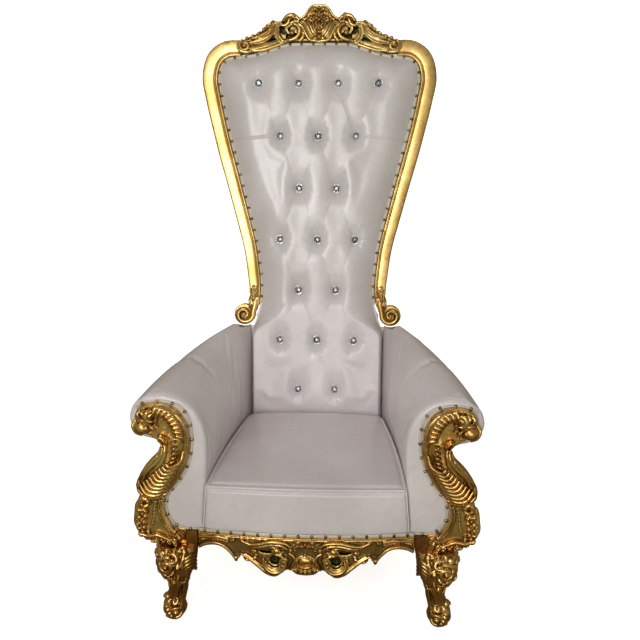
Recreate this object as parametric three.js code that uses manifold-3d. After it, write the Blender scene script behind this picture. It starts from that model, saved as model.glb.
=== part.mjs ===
// A high-backed rococo throne: a gilded carved frame round an upholstered tub seat with rolled arms.
// Millimetres, +Z up, the front faces -Y, and the origin is on the floor under the middle of the throne.
import * as THREE from "three";
import { mergeVertices } from "three/addons/utils/BufferGeometryUtils.js";
import Module from "manifold-3d";

// ---------------------------------------------------------------- driving sizes
const GAP = 0.4; // clearance between neighbouring pieces
const RECLINE = THREE.MathUtils.degToRad(8.66); // lean of the back
const BACK_Y = 139.4; // where the plane of the back meets the floor
const BACK_THICKNESS = 32; // frame of the back behind its plane
const COVER_RISE = -10; // where the stuffed panel of the back ends and its outer cover begins
const RAIL = { top: 280, bottom: 234 }; // seat rails, front to back
const SEAT = { front: 287, rear: 226, rearY: 138, top: 428, crown: 16 }; // half widths and heights
const FRONT_Y = -400; // plane of the arm fronts and of the ends of the seat front
const BOW = 26; // how far the seat front bows forward in the middle
const BOW_HALF = 315; // half length of the bowed front
const FACING_THICKNESS = 12;
const ARM_BULGE = 25; // how far the arms swell outwards between front and back
const ARM_RAISE = 13; // how far the arm roll humps up between front and back
const VOLUTE = { x: 256, z: 762, r: 38 }; // scroll at the foot of each stile
const BUTTON = { r: 12.5, rise: 8, lift: 7.2, pitch: 128, topPitch: 134, firstRow: 504, rowStep: 174 };
const BUTTON_ROWS = [2, 3, 2, 3, 2, 3, 4]; // crystals in each row, from the lowest row up
const TUFT = { pad: 70, dimple: 36 }; // how far the pads and the dimples stand off the back's plane

// ---------------------------------------------------------------- finishes
const gilt = new THREE.MeshStandardMaterial({ color: 0xc9952c, metalness: 1, roughness: 0.26 });
const leather = new THREE.MeshStandardMaterial({ color: 0xd9d2cd, metalness: 0, roughness: 0.42 });
const crystal = new THREE.MeshStandardMaterial({ color: 0xe6e9ee, metalness: 0.1, roughness: 0.05 });

// ---------------------------------------------------------------- solids
const wasm = await Module();
wasm.setup();

/** A closed geometry as a solid that can be joined and cut. */
function solidOf(geometry) {
  const bare = new THREE.BufferGeometry();
  bare.setAttribute("position", geometry.getAttribute("position"));
  bare.setIndex(geometry.getIndex());
  const merged = mergeVertices(bare, 1e-3);
  const mesh = new wasm.Mesh({
    numProp: 3,
    vertProperties: merged.attributes.position.array,
    triVerts: new Uint32Array(merged.index.array),
  });
  return new wasm.Manifold(mesh);
}

/** A solid as a flat-shaded geometry. */
function geometryOf(solid) {
  const mesh = solid.getMesh();
  const indexed = new THREE.BufferGeometry();
  indexed.setAttribute("position", new THREE.BufferAttribute(mesh.vertProperties, 3));
  indexed.setIndex(new THREE.BufferAttribute(mesh.triVerts, 1));
  const geometry = indexed.toNonIndexed();
  geometry.computeVertexNormals();
  return geometry;
}

const sumOf = (geometries) => geometries.map(solidOf).reduce((whole, piece) => whole.add(piece));
const joined = (...geometries) => geometryOf(sumOf(geometries));
const without = (geometry, ...tools) => geometryOf(solidOf(geometry).subtract(sumOf(tools)));
const within = (geometry, limit) => geometryOf(solidOf(geometry).intersect(solidOf(limit)));

/** Triangles that close a ring of points, wound as the ring is. */
function capOf(ring) {
  const normal = new THREE.Vector3();
  ring.forEach((a, i) => {
    const b = ring[(i + 1) % ring.length];
    normal.x += (a.y - b.y) * (a.z + b.z);
    normal.y += (a.z - b.z) * (a.x + b.x);
    normal.z += (a.x - b.x) * (a.y + b.y);
  });
  normal.normalize();
  const side = Math.abs(normal.z) < 0.9 ? new THREE.Vector3(0, 0, 1) : new THREE.Vector3(1, 0, 0);
  const e1 = new THREE.Vector3().crossVectors(side, normal).normalize();
  const e2 = new THREE.Vector3().crossVectors(normal, e1);
  const flat = ring.map((p) => new THREE.Vector2(p.dot(e1), p.dot(e2)));
  return THREE.ShapeUtils.triangulateShape(flat, []).map(([a, b, c]) => {
    const ab = flat[b].clone().sub(flat[a]);
    const ac = flat[c].clone().sub(flat[a]);
    return ab.cross(ac) > 0 ? [a, b, c] : [a, c, b];
  });
}

/** A closed skin over a row of rings that all have the same number of points. */
function loft(rings) {
  const around = rings[0].length;
  const last = (rings.length - 1) * around;
  const points = rings.flat();
  const faces = [];
  for (let i = 0; i + 1 < rings.length; i++) {
    for (let j = 0; j < around; j++) {
      const [a, b] = [i * around + j, i * around + ((j + 1) % around)];
      faces.push([a, b, b + around], [a, b + around, a + around]);
    }
  }
  capOf(rings[0]).forEach(([a, b, c]) => faces.push([a, c, b]));
  capOf(rings.at(-1)).forEach(([a, b, c]) => faces.push([last + a, last + b, last + c]));
  const cross = new THREE.Vector3();
  const volume = faces.reduce(
    (sum, [a, b, c]) => sum + points[a].dot(cross.crossVectors(points[b], points[c])),
    0,
  );
  const index = faces.flatMap(([a, b, c]) => (volume > 0 ? [a, b, c] : [a, c, b]));
  return new THREE.BufferGeometry().setFromPoints(points).setIndex(index);
}

// ---------------------------------------------------------------- lines on a surface
const point = ([x, z]) => new THREE.Vector2(x, z);

/** A smooth line through a few points [x, z], as `steps` + 1 points. */
function smoothLine(points, steps) {
  const nodes = points.map(([x, z]) => new THREE.Vector3(x, z, 0));
  const curve = new THREE.CatmullRomCurve3(nodes, false, "centripetal");
  return curve.getSpacedPoints(steps).map((p) => new THREE.Vector2(p.x, p.y));
}

/** Part of a spiral about (x, z): the radius and the angle, in degrees, both run evenly. */
function spiralLine([x, z], [r0, r1], [a0, a1], steps) {
  return Array.from({ length: steps + 1 }, (_, i) => {
    const t = i / steps;
    const r = THREE.MathUtils.lerp(r0, r1, t);
    const a = THREE.MathUtils.degToRad(THREE.MathUtils.lerp(a0, a1, t));
    return new THREE.Vector2(x + r * Math.cos(a), z + r * Math.sin(a));
  });
}

/** The value at t, from 0 to 1, of a row of evenly spaced values. */
function along(values, t) {
  if (values.length === 1) return values[0];
  const x = t * (values.length - 1);
  const i = Math.min(Math.floor(x), values.length - 2);
  return THREE.MathUtils.lerp(values[i], values[i + 1], x - i);
}

/** Unit vectors across a line at each of its points. */
function acrossLine(line) {
  return line.map((p, i) => {
    const before = line[Math.max(i - 1, 0)];
    const run = line[Math.min(i + 1, line.length - 1)].clone().sub(before).normalize();
    return new THREE.Vector2(-run.y, run.x);
  });
}

// Sections of carved strokes: [across, height]. A height below 0 is sunk into the ground.
const CREASE = [[-1, -1], [0, 1], [1, -1]];
const RIDGE = [[-1, -1], [-0.62, 0.85], [0.62, 0.85], [1, -1]];
const ROOT = 6; // how deep a stroke is rooted in its ground

/** A carved stroke: a section carried along a line on a surface, as wide and as high as the rows say. */
function stroke(line, halves, rises, place, section = CREASE, root = ROOT) {
  const across = acrossLine(line);
  const rings = line.map((p, i) => {
    const t = i / (line.length - 1);
    return section.map(([side, height]) => {
      const reach = side * along(halves, t);
      const rise = height < 0 ? -root : height * along(rises, t);
      return place(p.x + across[i].x * reach, p.y + across[i].y * reach, rise);
    });
  });
  return loft(rings);
}

/** A straight leaf from [x, z], so long and so wide, pointing at an angle in degrees. */
function leaf([x, z], angle, length, half, rise, place) {
  const a = THREE.MathUtils.degToRad(angle);
  const at = (t) => new THREE.Vector2(x + length * t * Math.cos(a), z + length * t * Math.sin(a));
  return stroke([at(0), at(0.45), at(1)], [half * 0.5, half, half * 0.15], [rise, rise, rise * 0.4], place);
}

/** A round bead that stands on a surface. */
function bead([x, z], r, rise, place) {
  const centre = place(x, z, rise);
  return new THREE.SphereGeometry(r, 6, 3).translate(centre.x, centre.y, centre.z);
}

/** A flat board cut to an outline, from one rise to another, on a plane that faces -Y. */
function board(outline, backRise, frontRise, place) {
  const depth = frontRise - backRise;
  const blank = new THREE.ExtrudeGeometry(new THREE.Shape(outline), { depth, bevelEnabled: false });
  const origin = place(0, 0, backRise);
  return blank.rotateX(Math.PI / 2).translate(0, origin.y, 0);
}

/** A round hole through a flat body. */
function hole([x, z], r, place) {
  const centre = place(x, z, 0);
  return new THREE.CylinderGeometry(r, r, 160, 6).translate(centre.x, centre.y, centre.z);
}

const box = (x0, x1, y0, y1, z0, z1) =>
  new THREE.BoxGeometry(x1 - x0, y1 - y0, z1 - z0).translate((x0 + x1) / 2, (y0 + y1) / 2, (z0 + z1) / 2);

/** The mirror image of a geometry in the plane x = 0. */
function mirrored(geometry) {
  const copy = geometry.index ? geometry.toNonIndexed() : geometry.clone();
  const { array } = copy.scale(-1, 1, 1).getAttribute("position");
  for (let i = 0; i < array.length; i += 9) {
    const second = array.slice(i + 3, i + 6);
    array.copyWithin(i + 3, i + 6, i + 9);
    array.set(second, i + 6);
  }
  copy.computeVertexNormals();
  return copy;
}

const bothSides = (geometries) => geometries.flatMap((geometry) => [geometry, mirrored(geometry)]);
const mirroredLine = (line) => [...line].reverse().map((p) => new THREE.Vector2(-p.x, p.y));

// ---------------------------------------------------------------- surfaces that carry carving
const bowY = (x) => FRONT_Y - BOW * (1 - (x / BOW_HALF) ** 2);
const onBack = (x, z, rise) => new THREE.Vector3(x, -rise, z); // inside the leaning group
const onFacing = (x, z, rise) => new THREE.Vector3(x, FRONT_Y - FACING_THICKNESS - rise, z);
const onApron = (x, z, rise) => new THREE.Vector3(x, bowY(x) - rise, z);
const onLeg = (x, z, rise) => new THREE.Vector3(x, -426 - rise, z);

// ---------------------------------------------------------------- the group
const throne = new THREE.Group();
const back = new THREE.Group(); // leans: x across the back, -y out of its front, z up along it
back.position.y = BACK_Y;
back.rotation.x = -RECLINE;
back.updateMatrix();
throne.add(back);

function add(parent, name, geometry, material) {
  const mesh = new THREE.Mesh(geometry, material);
  mesh.name = name;
  parent.add(mesh);
}

function addPair(parent, name, geometry, material) {
  add(parent, `${name}_right`, geometry, material);
  add(parent, `${name}_left`, mirrored(geometry), material);
}

// ---------------------------------------------------------------- stiles
// Middle line of the right stile, from the crest over the shoulder and down, and its half widths.
const STILE_LINE = smoothLine(
  [
    [275, 1668], [315, 1664], [352, 1636], [370, 1575], [359, 1498],
    [326, 1352], [287, 1205], [258, 1093], [236, 1004], [225, 929], [218, 845], [222, 795],
  ],
  17,
);
const STILE_HALVES = [28, 29, 27, 26, 25, 25, 24, 23.5, 23, 22, 21, 17];
const STILE_SECTION = [[1, -1], [1, 0.4], [0.7, 1], [-0.45, 0.8], [-0.66, 0.1], [-1, 0.5], [-1, -1]];
const STILE_RISE = 9;

/** One upright of the back: a moulded band that ends below in a volute. */
function stile() {
  const root = BACK_THICKNESS;
  const band = stroke(STILE_LINE, STILE_HALVES, [STILE_RISE], onBack, STILE_SECTION, root);
  const { x, z, r } = VOLUTE;
  const neckLine = smoothLine([[218, 850], [219, 815], [221, 780]], 2);
  const neck = stroke(neckLine, [15, 13, 11], [10, 12, 14], onBack, RIDGE, root);
  const drum = new THREE.CylinderGeometry(r - 4, r - 4, root, 10).translate(x, root / 2 - 2, z);
  const turns = spiralLine([x, z], [r - 7, 12], [160, 610], 12);
  const curl = stroke(turns, [9, 8, 6, 5], [14, 17, 24], onBack, CREASE, 4);
  const eye = bead([x, z], 12, 6, onBack);
  const leaves = [leaf([238, 836], -75, 44, 9, 18, onBack), leaf([216, 850], -84, 40, 8, 20, onBack)];
  return joined(band, neck, drum, curl, eye, ...leaves);
}

addPair(back, "stile", stile(), gilt);

// ---------------------------------------------------------------- crest
// Right half of the crest's outline: over the top from the middle, then back along its foot.
const CREST_TOP = [
  [0, 1808], [22, 1806], [36, 1796], [48, 1778], [64, 1768], [74, 1778], [90, 1782], [108, 1776],
  [124, 1758], [146, 1756], [166, 1744], [182, 1726], [205, 1712], [236, 1705], [264, 1694],
];
const CREST_FOOT = [[270, 1651], [196, 1653], [152, 1670], [101, 1685], [30, 1687]];

function crestOutline() {
  const half = [...smoothLine(CREST_TOP, 15), ...CREST_FOOT.map(point)];
  return [...mirroredLine(half).slice(0, -1), ...half];
}

/** The C-scrolls, leaves and beads on the right half of the crest. */
function crestWing() {
  const arm = smoothLine([[62, 1748], [92, 1722], [135, 1716], [180, 1697], [222, 1684], [252, 1684]], 6);
  const lobes = [[120, 1722, 62, 34], [158, 1710, 52, 36], [200, 1692, 42, 28]];
  return [
    stroke(arm, [9, 10, 11, 9, 7], [20, 18, 18, 14], onBack, RIDGE),
    stroke(spiralLine([92, 1758], [23, 6], [215, -130], 7), [7, 6, 4], [20, 16], onBack, CREASE),
    stroke(spiralLine([251, 1670], [13, 4], [100, -190], 5), [5, 4], [14, 12], onBack, CREASE),
    ...lobes.map(([x, z, angle, length]) => leaf([x, z], angle, length, 9, 16, onBack)),
  ];
}

/** The flared cartouche in the middle of the crest: rim, flower, boss and beads. */
function cartouche() {
  const rim = smoothLine([[34, 1798], [46, 1764], [40, 1732], [30, 1706], [0, 1692]], 5);
  const petals = Array.from({ length: 5 }, (_, i) => leaf([0, 1764], 18 + 72 * i, 21, 9, 24, onBack));
  const boss = new THREE.SphereGeometry(1, 8, 4).scale(17, 22, 20).translate(0, -10, 1729);
  const rimStroke = stroke(rim, [5, 7, 7, 6, 5], [18, 20, 20, 16], onBack, RIDGE);
  const beads = [bead([29, 1794], 11, 10, onBack), bead([21, 1700], 8, 10, onBack)];
  return [...bothSides([rimStroke, ...beads]), ...petals, boss];
}

function crest() {
  const ground = board(crestOutline(), 4 - BACK_THICKNESS, 4, onBack);
  const holes = bothSides([hole([114, 1740], 8, onBack), hole([163, 1730], 6, onBack)]);
  const foot = smoothLine(CREST_FOOT.map(([x, z]) => [x - 3, z + 8]), 5);
  const moulding = stroke([...foot, ...mirroredLine(foot)], [7], [13], onBack);
  return joined(without(ground, ...holes), moulding, ...bothSides(crestWing()), ...cartouche());
}

add(back, "crest", crest(), gilt);

// ---------------------------------------------------------------- padded back
const VOLUTE_GAP = VOLUTE.x - VOLUTE.r - 3; // half width that passes between the volutes
const PANEL = { bottom: 292, top: 1686, arms: 224 }; // along the back, and half width between the arms
const COVER_HALF = 262; // half width of the outer cover below the volutes

/** The inner edge of the right stile, brought in by a gap, from the shoulder down to its volute. */
function stileInnerEdge(gap) {
  const across = acrossLine(STILE_LINE);
  return STILE_LINE.map((p, i) => {
    const half = along(STILE_HALVES, i / (STILE_LINE.length - 1)) + gap;
    return p.clone().addScaledVector(across[i], -half);
  }).slice(2, -1);
}

/** Half width of the back's panel at a height along the back. */
function panelHalf(z) {
  const edge = stileInnerEdge(1);
  if (z < edge.at(-1).y) return PANEL.arms;
  const i = edge.findIndex((p) => p.y <= z);
  if (i < 1) return edge[0].x;
  const [above, below] = [edge[i - 1], edge[i]];
  return THREE.MathUtils.mapLinear(z, below.y, above.y, below.x, above.x);
}

/** The whole outline that fills the frame, with a given half width below the volutes. */
function panelOutline(gap, lowHalf) {
  const foot = CREST_FOOT.slice(1).reverse().map(([x, z]) => point([x, z - 1 - gap]));
  const neck = [[200, 796], [207, 774], [VOLUTE_GAP, 762], [VOLUTE_GAP, 722]].map(point);
  const low = [[lowHalf, 716], [lowHalf, PANEL.bottom]].map(point);
  const half = [...foot, ...stileInnerEdge(gap), ...neck, ...low];
  return [...half, ...mirroredLine(half)];
}

/** Places [x, z] of the crystals on the back. */
const buttonPlaces = BUTTON_ROWS.flatMap((count, row) => {
  const pitch = count === 4 ? BUTTON.topPitch : BUTTON.pitch;
  const z = BUTTON.firstRow + row * BUTTON.rowStep;
  return Array.from({ length: count }, (_, i) => [(i - (count - 1) / 2) * pitch, z]);
});

/** How far the tufted surface stands off the back's plane. */
function tuftRise(x, z) {
  const edge = Math.min(1, (1 - Math.abs(x) / panelHalf(z)) * 3.2, (PANEL.top - z) / 70);
  const near = Math.min(...buttonPlaces.map(([bx, bz]) => Math.hypot((x - bx) * 1.35, z - bz)));
  const pad = THREE.MathUtils.smoothstep(near, 0, BUTTON.rowStep * 0.62);
  const low = THREE.MathUtils.smoothstep(z, PANEL.bottom, BUTTON.firstRow) * 0.45 + 0.55;
  const height = THREE.MathUtils.lerp(TUFT.dimple, TUFT.pad, pad) * low;
  return 4 + (height - 4) * Math.sqrt(Math.max(0, edge));
}

function backPanel() {
  const heights = Array.from({ length: 17 }, (_, i) => BUTTON.firstRow + (i - 2) * (BUTTON.rowStep / 2));
  const rings = [PANEL.bottom, ...heights].map((z) => {
    const half = panelHalf(z) + 2;
    const inner = [0, 1, 2, 3, 4].map((k) => (k * BUTTON.pitch) / 4);
    const shoulder = Math.min(1.5 * BUTTON.topPitch, (BUTTON.pitch + half) / 2);
    const right = [...inner, shoulder, (shoulder + half) / 2, half];
    const across = [...right.slice(1).reverse().map((x) => -x), ...right];
    const front = across.map((x) => onBack(x, z, tuftRise(x, z)));
    return [...front, onBack(half, z, COVER_RISE + GAP), onBack(-half, z, COVER_RISE + GAP)];
  });
  const limit = board(panelOutline(1, PANEL.arms), -BACK_THICKNESS, 2 * TUFT.pad, onBack);
  return within(loft(rings), limit);
}

add(back, "back_panel", backPanel(), leather);
const cover = board(panelOutline(1.5, COVER_HALF), 4 - BACK_THICKNESS, COVER_RISE, onBack);
add(back, "back_cover", cover, leather);
buttonPlaces.forEach(([x, z], i) => {
  const stone = new THREE.CylinderGeometry(BUTTON.r, BUTTON.r * 0.55, BUTTON.rise, 6);
  stone.translate(x, -tuftRise(x, z) - BUTTON.rise / 2 - BUTTON.lift, z);
  add(back, `crystal_button_${i + 1}`, stone, crystal);
});

// ---------------------------------------------------------------- arms
// Sections of the right arm at its front and at its rear, [x, z], from the inner foot over the roll.
const ARM_FRONT = [
  [300, 281], [292, 380], [286, 450], [281, 535], [289, 600], [313, 650], [352, 681], [400, 694], [450, 687],
  [485, 660], [497, 622], [487, 590], [462, 567], [425, 556], [404, 535], [400, 490], [424, 430], [440, 370],
  [440, 281],
];
const ARM_REAR = [
  [228, 281], [228, 370], [228, 450], [228, 535], [228, 600], [229, 660], [234, 712], [250, 738], [264, 730],
  [272, 708], [274, 680], [274, 650], [274, 610], [274, 570], [274, 530], [274, 480], [274, 420], [274, 360],
  [274, 281],
];

/** A point of the arm's section: j runs round it, s from the front at 0 to the back at 1. */
function armPoint(j, s, grow = 0) {
  const [[fx, fz], [rx, rz]] = [ARM_FRONT[j], ARM_REAR[j]];
  const mid = 4 * s * (1 - s);
  const outward = THREE.MathUtils.smoothstep(j, 4, 10);
  const upward = Math.exp(-(((j - 8) / 3.4) ** 2));
  const x = THREE.MathUtils.lerp(fx, rx, s) + mid * ARM_BULGE * outward + grow;
  const z = THREE.MathUtils.lerp(fz, rz, s) + mid * ARM_RAISE * upward;
  const rearY = BACK_Y + z * Math.tan(RECLINE) - (COVER_RISE + GAP) / Math.cos(RECLINE);
  return new THREE.Vector3(x, THREE.MathUtils.lerp(FRONT_Y, rearY, s), z);
}

/** One padded arm: a slab that rolls outwards at the top, more so towards the front. */
function arm() {
  const stations = [0, 0.03, 0.2, 0.4, 0.6, 0.8, 1];
  const rings = stations.map((s) => ARM_FRONT.map((_, j) => armPoint(j, s)));
  rings[0].forEach((p) => p.lerp(new THREE.Vector3(370, FRONT_Y, 500), 0.02));
  const notch = new THREE.CylinderGeometry(VOLUTE.r + 3, VOLUTE.r + 3, 140, 16);
  notch.translate(VOLUTE.x, 0, VOLUTE.z).applyMatrix4(back.matrix);
  return without(loft(rings), notch);
}

addPair(throne, "arm", arm(), leather);

// ---------------------------------------------------------------- seat
/** The sprung seat: a bowed front border, a domed top and sides that follow the arms. */
function seat() {
  const stations = [0, 0.06, 0.2, 0.45, 0.7, 0.9, 1];
  const columns = [-1, -0.93, -0.45, 0, 0.45, 0.93, 1];
  const rings = stations.map((s) => {
    const low = THREE.MathUtils.lerp(SEAT.front + 11, SEAT.rear + 1, s);
    const high = THREE.MathUtils.lerp(SEAT.front - 2, SEAT.rear, s);
    const y = (x) => THREE.MathUtils.lerp(bowY(x) + 2, SEAT.rearY, s);
    const top = columns.map((u) => {
      const x = u * high;
      const edge = Math.min(1, s * 8, (1 - Math.abs(u)) * 8);
      const dome = SEAT.crown * (1 - u * u) * Math.sin(Math.PI * Math.min(1, 0.12 + 0.88 * s));
      return new THREE.Vector3(x, y(x), SEAT.top - 8 + 8 * edge + dome);
    });
    const foot = columns.map((u) => new THREE.Vector3(-u * low, y(u * low), RAIL.top + GAP));
    return [...top, ...foot];
  });
  return loft(rings);
}

add(throne, "seat", seat(), leather);

// ---------------------------------------------------------------- arm facings
// Outline of the right facing: a leafy scroll above, a waist, and a floral plate that stands on the leg.
const FACING_OUTLINE = [
  [336, 625], [356, 654], [392, 669], [432, 668], [464, 651], [478, 622], [466, 592], [432, 574], [406, 552],
  [403, 528], [424, 502], [458, 472], [483, 436], [482, 400], [466, 384], [489, 370], [496, 336], [498, 300],
  [478, 270], [440, 246], [404, 236], [366, 243], [352, 262], [378, 284], [402, 314], [410, 350], [402, 388],
  [368, 436], [338, 492], [325, 557],
];

/** The scroll of the facing's head, its spine, its flutes and its gadroons. */
function facingScroll() {
  const spine = smoothLine(
    [[446, 612], [418, 586], [378, 578], [362, 546], [372, 500], [402, 452], [424, 412], [428, 384]],
    7,
  );
  const inner = smoothLine([[352, 640], [334, 600], [334, 550], [348, 496], [376, 440], [408, 396]], 6);
  const fan = Array.from({ length: 4 }, (_, i) => leaf([420, 620], 140 - 60 * i, 44, 11, 15, onFacing));
  const gadroons = Array.from({ length: 4 }, (_, i) =>
    leaf([426 - 4 * i, 406 + 26 * i], 5 + 9 * i, 48 - 7 * i, 11, 16, onFacing),
  );
  return [
    stroke(spine, [9, 10, 12, 11, 8], [14, 14, 16, 14], onFacing, RIDGE),
    stroke(inner, [7, 8, 8, 6], [10], onFacing, CREASE),
    stroke(spiralLine([420, 620], [22, 6], [-60, 250], 6), [7, 5], [18, 14], onFacing),
    ...fan,
    ...gadroons,
  ];
}

/** The plate below the waist: a quarter-round moulding, a flower on a stalk and hanging leaves. */
function facingPlate() {
  const moulding = smoothLine([[418, 376], [424, 344], [412, 304], [388, 276], [366, 260]], 5);
  const stalk = smoothLine([[480, 362], [478, 330], [470, 296], [452, 268]], 3);
  const shell = Array.from({ length: 2 }, (_, i) => leaf([462, 350], 65 + 50 * i, 26, 9, 14, onFacing));
  const drops = Array.from({ length: 3 }, (_, i) => leaf([420, 272], 205 + 48 * i, 42, 12, 13, onFacing));
  return [
    stroke(moulding, [6], [12, 14, 12], onFacing, CREASE),
    stroke(stalk, [12, 9, 12], [14, 12, 14], onFacing, RIDGE),
    bead([446, 316], 10, 4, onFacing),
    ...shell,
    ...drops,
  ];
}

function facing() {
  const outline = smoothLine([...FACING_OUTLINE, FACING_OUTLINE[0]], 31).slice(0, -1);
  const ground = board(outline, GAP - FACING_THICKNESS, 2, onFacing);
  return joined(ground, ...facingScroll(), ...facingPlate());
}

addPair(throne, "arm_facing", facing(), gilt);

// ---------------------------------------------------------------- apron
// Lower edge of the apron's right half, from the middle out.
const APRON_EDGE = [
  [0, 154], [26, 158], [44, 172], [62, 168], [84, 156], [106, 160], [132, 180], [166, 200], [184, 218],
  [200, 200], [215, 216], [238, 238], [262, 244], [292, 238], [314, 226],
];

/** The carved front rail: a bowed board with a wavy lower edge, thicker where it carries the seat. */
function apronBoard() {
  const half = smoothLine(APRON_EDGE, 12);
  const edge = [...mirroredLine(half).slice(0, -1), ...half];
  const rings = edge.map(({ x, y: low }) => {
    const at = (rise, z) => onApron(x, z, rise);
    const step = Math.max(low + 4, RAIL.bottom);
    return [at(7, low), at(7, RAIL.top), at(-38, RAIL.top), at(-38, step + 2), at(-14, step), at(-14, low)];
  });
  return loft(rings);
}

/** C-scrolls, leaves and beads on the apron's right half. */
function apronScrolls() {
  const arch = smoothLine([[304, 250], [272, 256], [238, 250], [214, 232], [202, 212]], 5);
  const sweep = smoothLine([[196, 226], [166, 216], [132, 196], [100, 178], [70, 180], [46, 196]], 6);
  return [
    stroke(arch, [6, 7, 6], [18], onApron, CREASE),
    stroke(sweep, [6, 9, 8, 7], [20, 22, 20], onApron, RIDGE),
    stroke(spiralLine([66, 206], [18, 5], [-60, 260], 6), [6, 4], [18, 16], onApron),
    stroke(spiralLine([168, 238], [15, 5], [-120, 200], 5), [6, 4], [17, 15], onApron),
    leaf([212, 244], -105, 46, 8, 18, onApron),
    leaf([122, 200], 60, 40, 8, 17, onApron),
  ];
}

/** The oval cartouche in the middle of the apron, with its leaves. */
function apronCartouche() {
  const oval = new THREE.SphereGeometry(1, 9, 4).scale(24, 20, 20).translate(0, bowY(0) - 6, 206);
  const leaves = Array.from({ length: 3 }, (_, i) => leaf([0, 186], 225 + 45 * i, 34, 11, 16, onApron));
  return [oval, ...leaves];
}

function apron() {
  const holes = bothSides([hole([98, 214], 7, onApron)]);
  const line = [-2, -1, 0, 1, 2].map((i) => point([(i / 2) * (BOW_HALF - 2), 268]));
  const moulding = stroke(line, [6], [14], onApron);
  return joined(without(apronBoard(), ...holes), moulding, ...bothSides(apronScrolls()), ...apronCartouche());
}

add(throne, "apron", apron(), gilt);

// ---------------------------------------------------------------- legs and rails
// Front right leg: [height, inner x, outer x, front y, rear y] from the knee's top down to the floor.
const FRONT_LEG = [
  [229, 319, 434, -430, -352], [205, 319, 442, -440, -352], [180, 323, 442, -442, -356],
  [150, 334, 430, -438, -368], [122, 345, 408, -430, -382], [92, 351, 404, -424, -388],
  [68, 358, 404, -424, -390], [50, 360, 424, -434, -386],
  [16, 362, 428, -436, -384], [0, 372, 412, -428, -392],
];
const LEG_BLOCK = { inner: BOW_HALF + 1, outer: 432, front: -398, rear: -320 };

/** A leg's body: eight-sided sections with clipped corners. */
function legBody(stations) {
  const clip = 0.38;
  return loft(
    stations.map(([z, x0, x1, y0, y1]) => {
      const [cx, cy, hx, hy] = [(x0 + x1) / 2, (y0 + y1) / 2, (x1 - x0) / 2, (y1 - y0) / 2];
      const quarter = [[1, -clip], [1, clip]];
      const half = [...quarter, ...quarter.map(([u, v]) => [-v, u])];
      const corners = [...half, ...half.map(([u, v]) => [-u, -v])];
      return corners.map(([u, v]) => new THREE.Vector3(cx + u * hx, cy + v * hy, z));
    }),
  );
}

/** The front right leg: a leafy knee, a slim ankle and a foot that scrolls outwards. */
function frontLeg() {
  const { inner, outer, front, rear } = LEG_BLOCK;
  const block = box(inner, outer, front, rear, 220, RAIL.top - GAP);
  const corner = box(inner, 350, front - 12, rear, 226, RAIL.top - GAP);
  const fan = [-135, -95, -60].map((angle) => leaf([386, 224], angle, 72, 14, 20, onLeg));
  const stemLine = smoothLine([[398, 160], [386, 120], [372, 88], [376, 60]], 4);
  const stem = stroke(stemLine, [8, 6, 6, 8], [14, 8, 6, 8], onLeg, RIDGE, 14);
  const curl = stroke(spiralLine([396, 36], [25, 6], [140, -220], 7), [7, 5], [13, 14], onLeg, CREASE, 10);
  return joined(legBody(FRONT_LEG), block, corner, stem, curl, bead([396, 36], 9, 10, onLeg), ...fan);
}

// Rear right leg: plain and square, raked backwards.
const REAR_LEG = [
  [RAIL.top - GAP, 222, 274, 146, 206], [RAIL.bottom - 4, 222, 274, 148, 206],
  [150, 226, 270, 178, 222], [70, 228, 268, 216, 254], [0, 226, 268, 252, 290],
];

/** A plain side rail under an arm, following its plan from the front leg's block to the rear leg. */
function sideRail() {
  const stations = [0.16, 0.4, 0.66, 0.88];
  return loft(
    stations.map((s) => {
      const [inner, outer] = [armPoint(0, s), armPoint(ARM_FRONT.length - 1, s)];
      const y = THREE.MathUtils.mapLinear(s, 0.16, 0.88, LEG_BLOCK.rear + GAP, 146 - GAP);
      const x = [inner.x + 8, outer.x - 4];
      const at = (side, z) => new THREE.Vector3(x[side], y, z);
      return [at(0, RAIL.bottom), at(1, RAIL.bottom), at(1, RAIL.top - GAP), at(0, RAIL.top - GAP)];
    }),
  );
}

addPair(throne, "front_leg", frontLeg(), gilt);
addPair(throne, "rear_leg", legBody(REAR_LEG), gilt);
addPair(throne, "side_rail", sideRail(), gilt);
add(throne, "rear_rail", box(-221, 221, 150, 206, RAIL.bottom, RAIL.top - GAP), gilt);

export default throne;
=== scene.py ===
# %% [markdown]
# # A gilded rococo throne
# The real chair is a beech frame, carved by hand, gilded with leaf and burnished, and an upholsterer's
# work in it: a deep-buttoned back, rolled arms and a sprung seat under pearl white leatherette.
# The frame file fixes where every piece stands. Here each piece gets the surface that the eye expects.
# All shapes are worked out in millimetres and turned to metres as a mesh is made.

# %% The frame
import math

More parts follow.
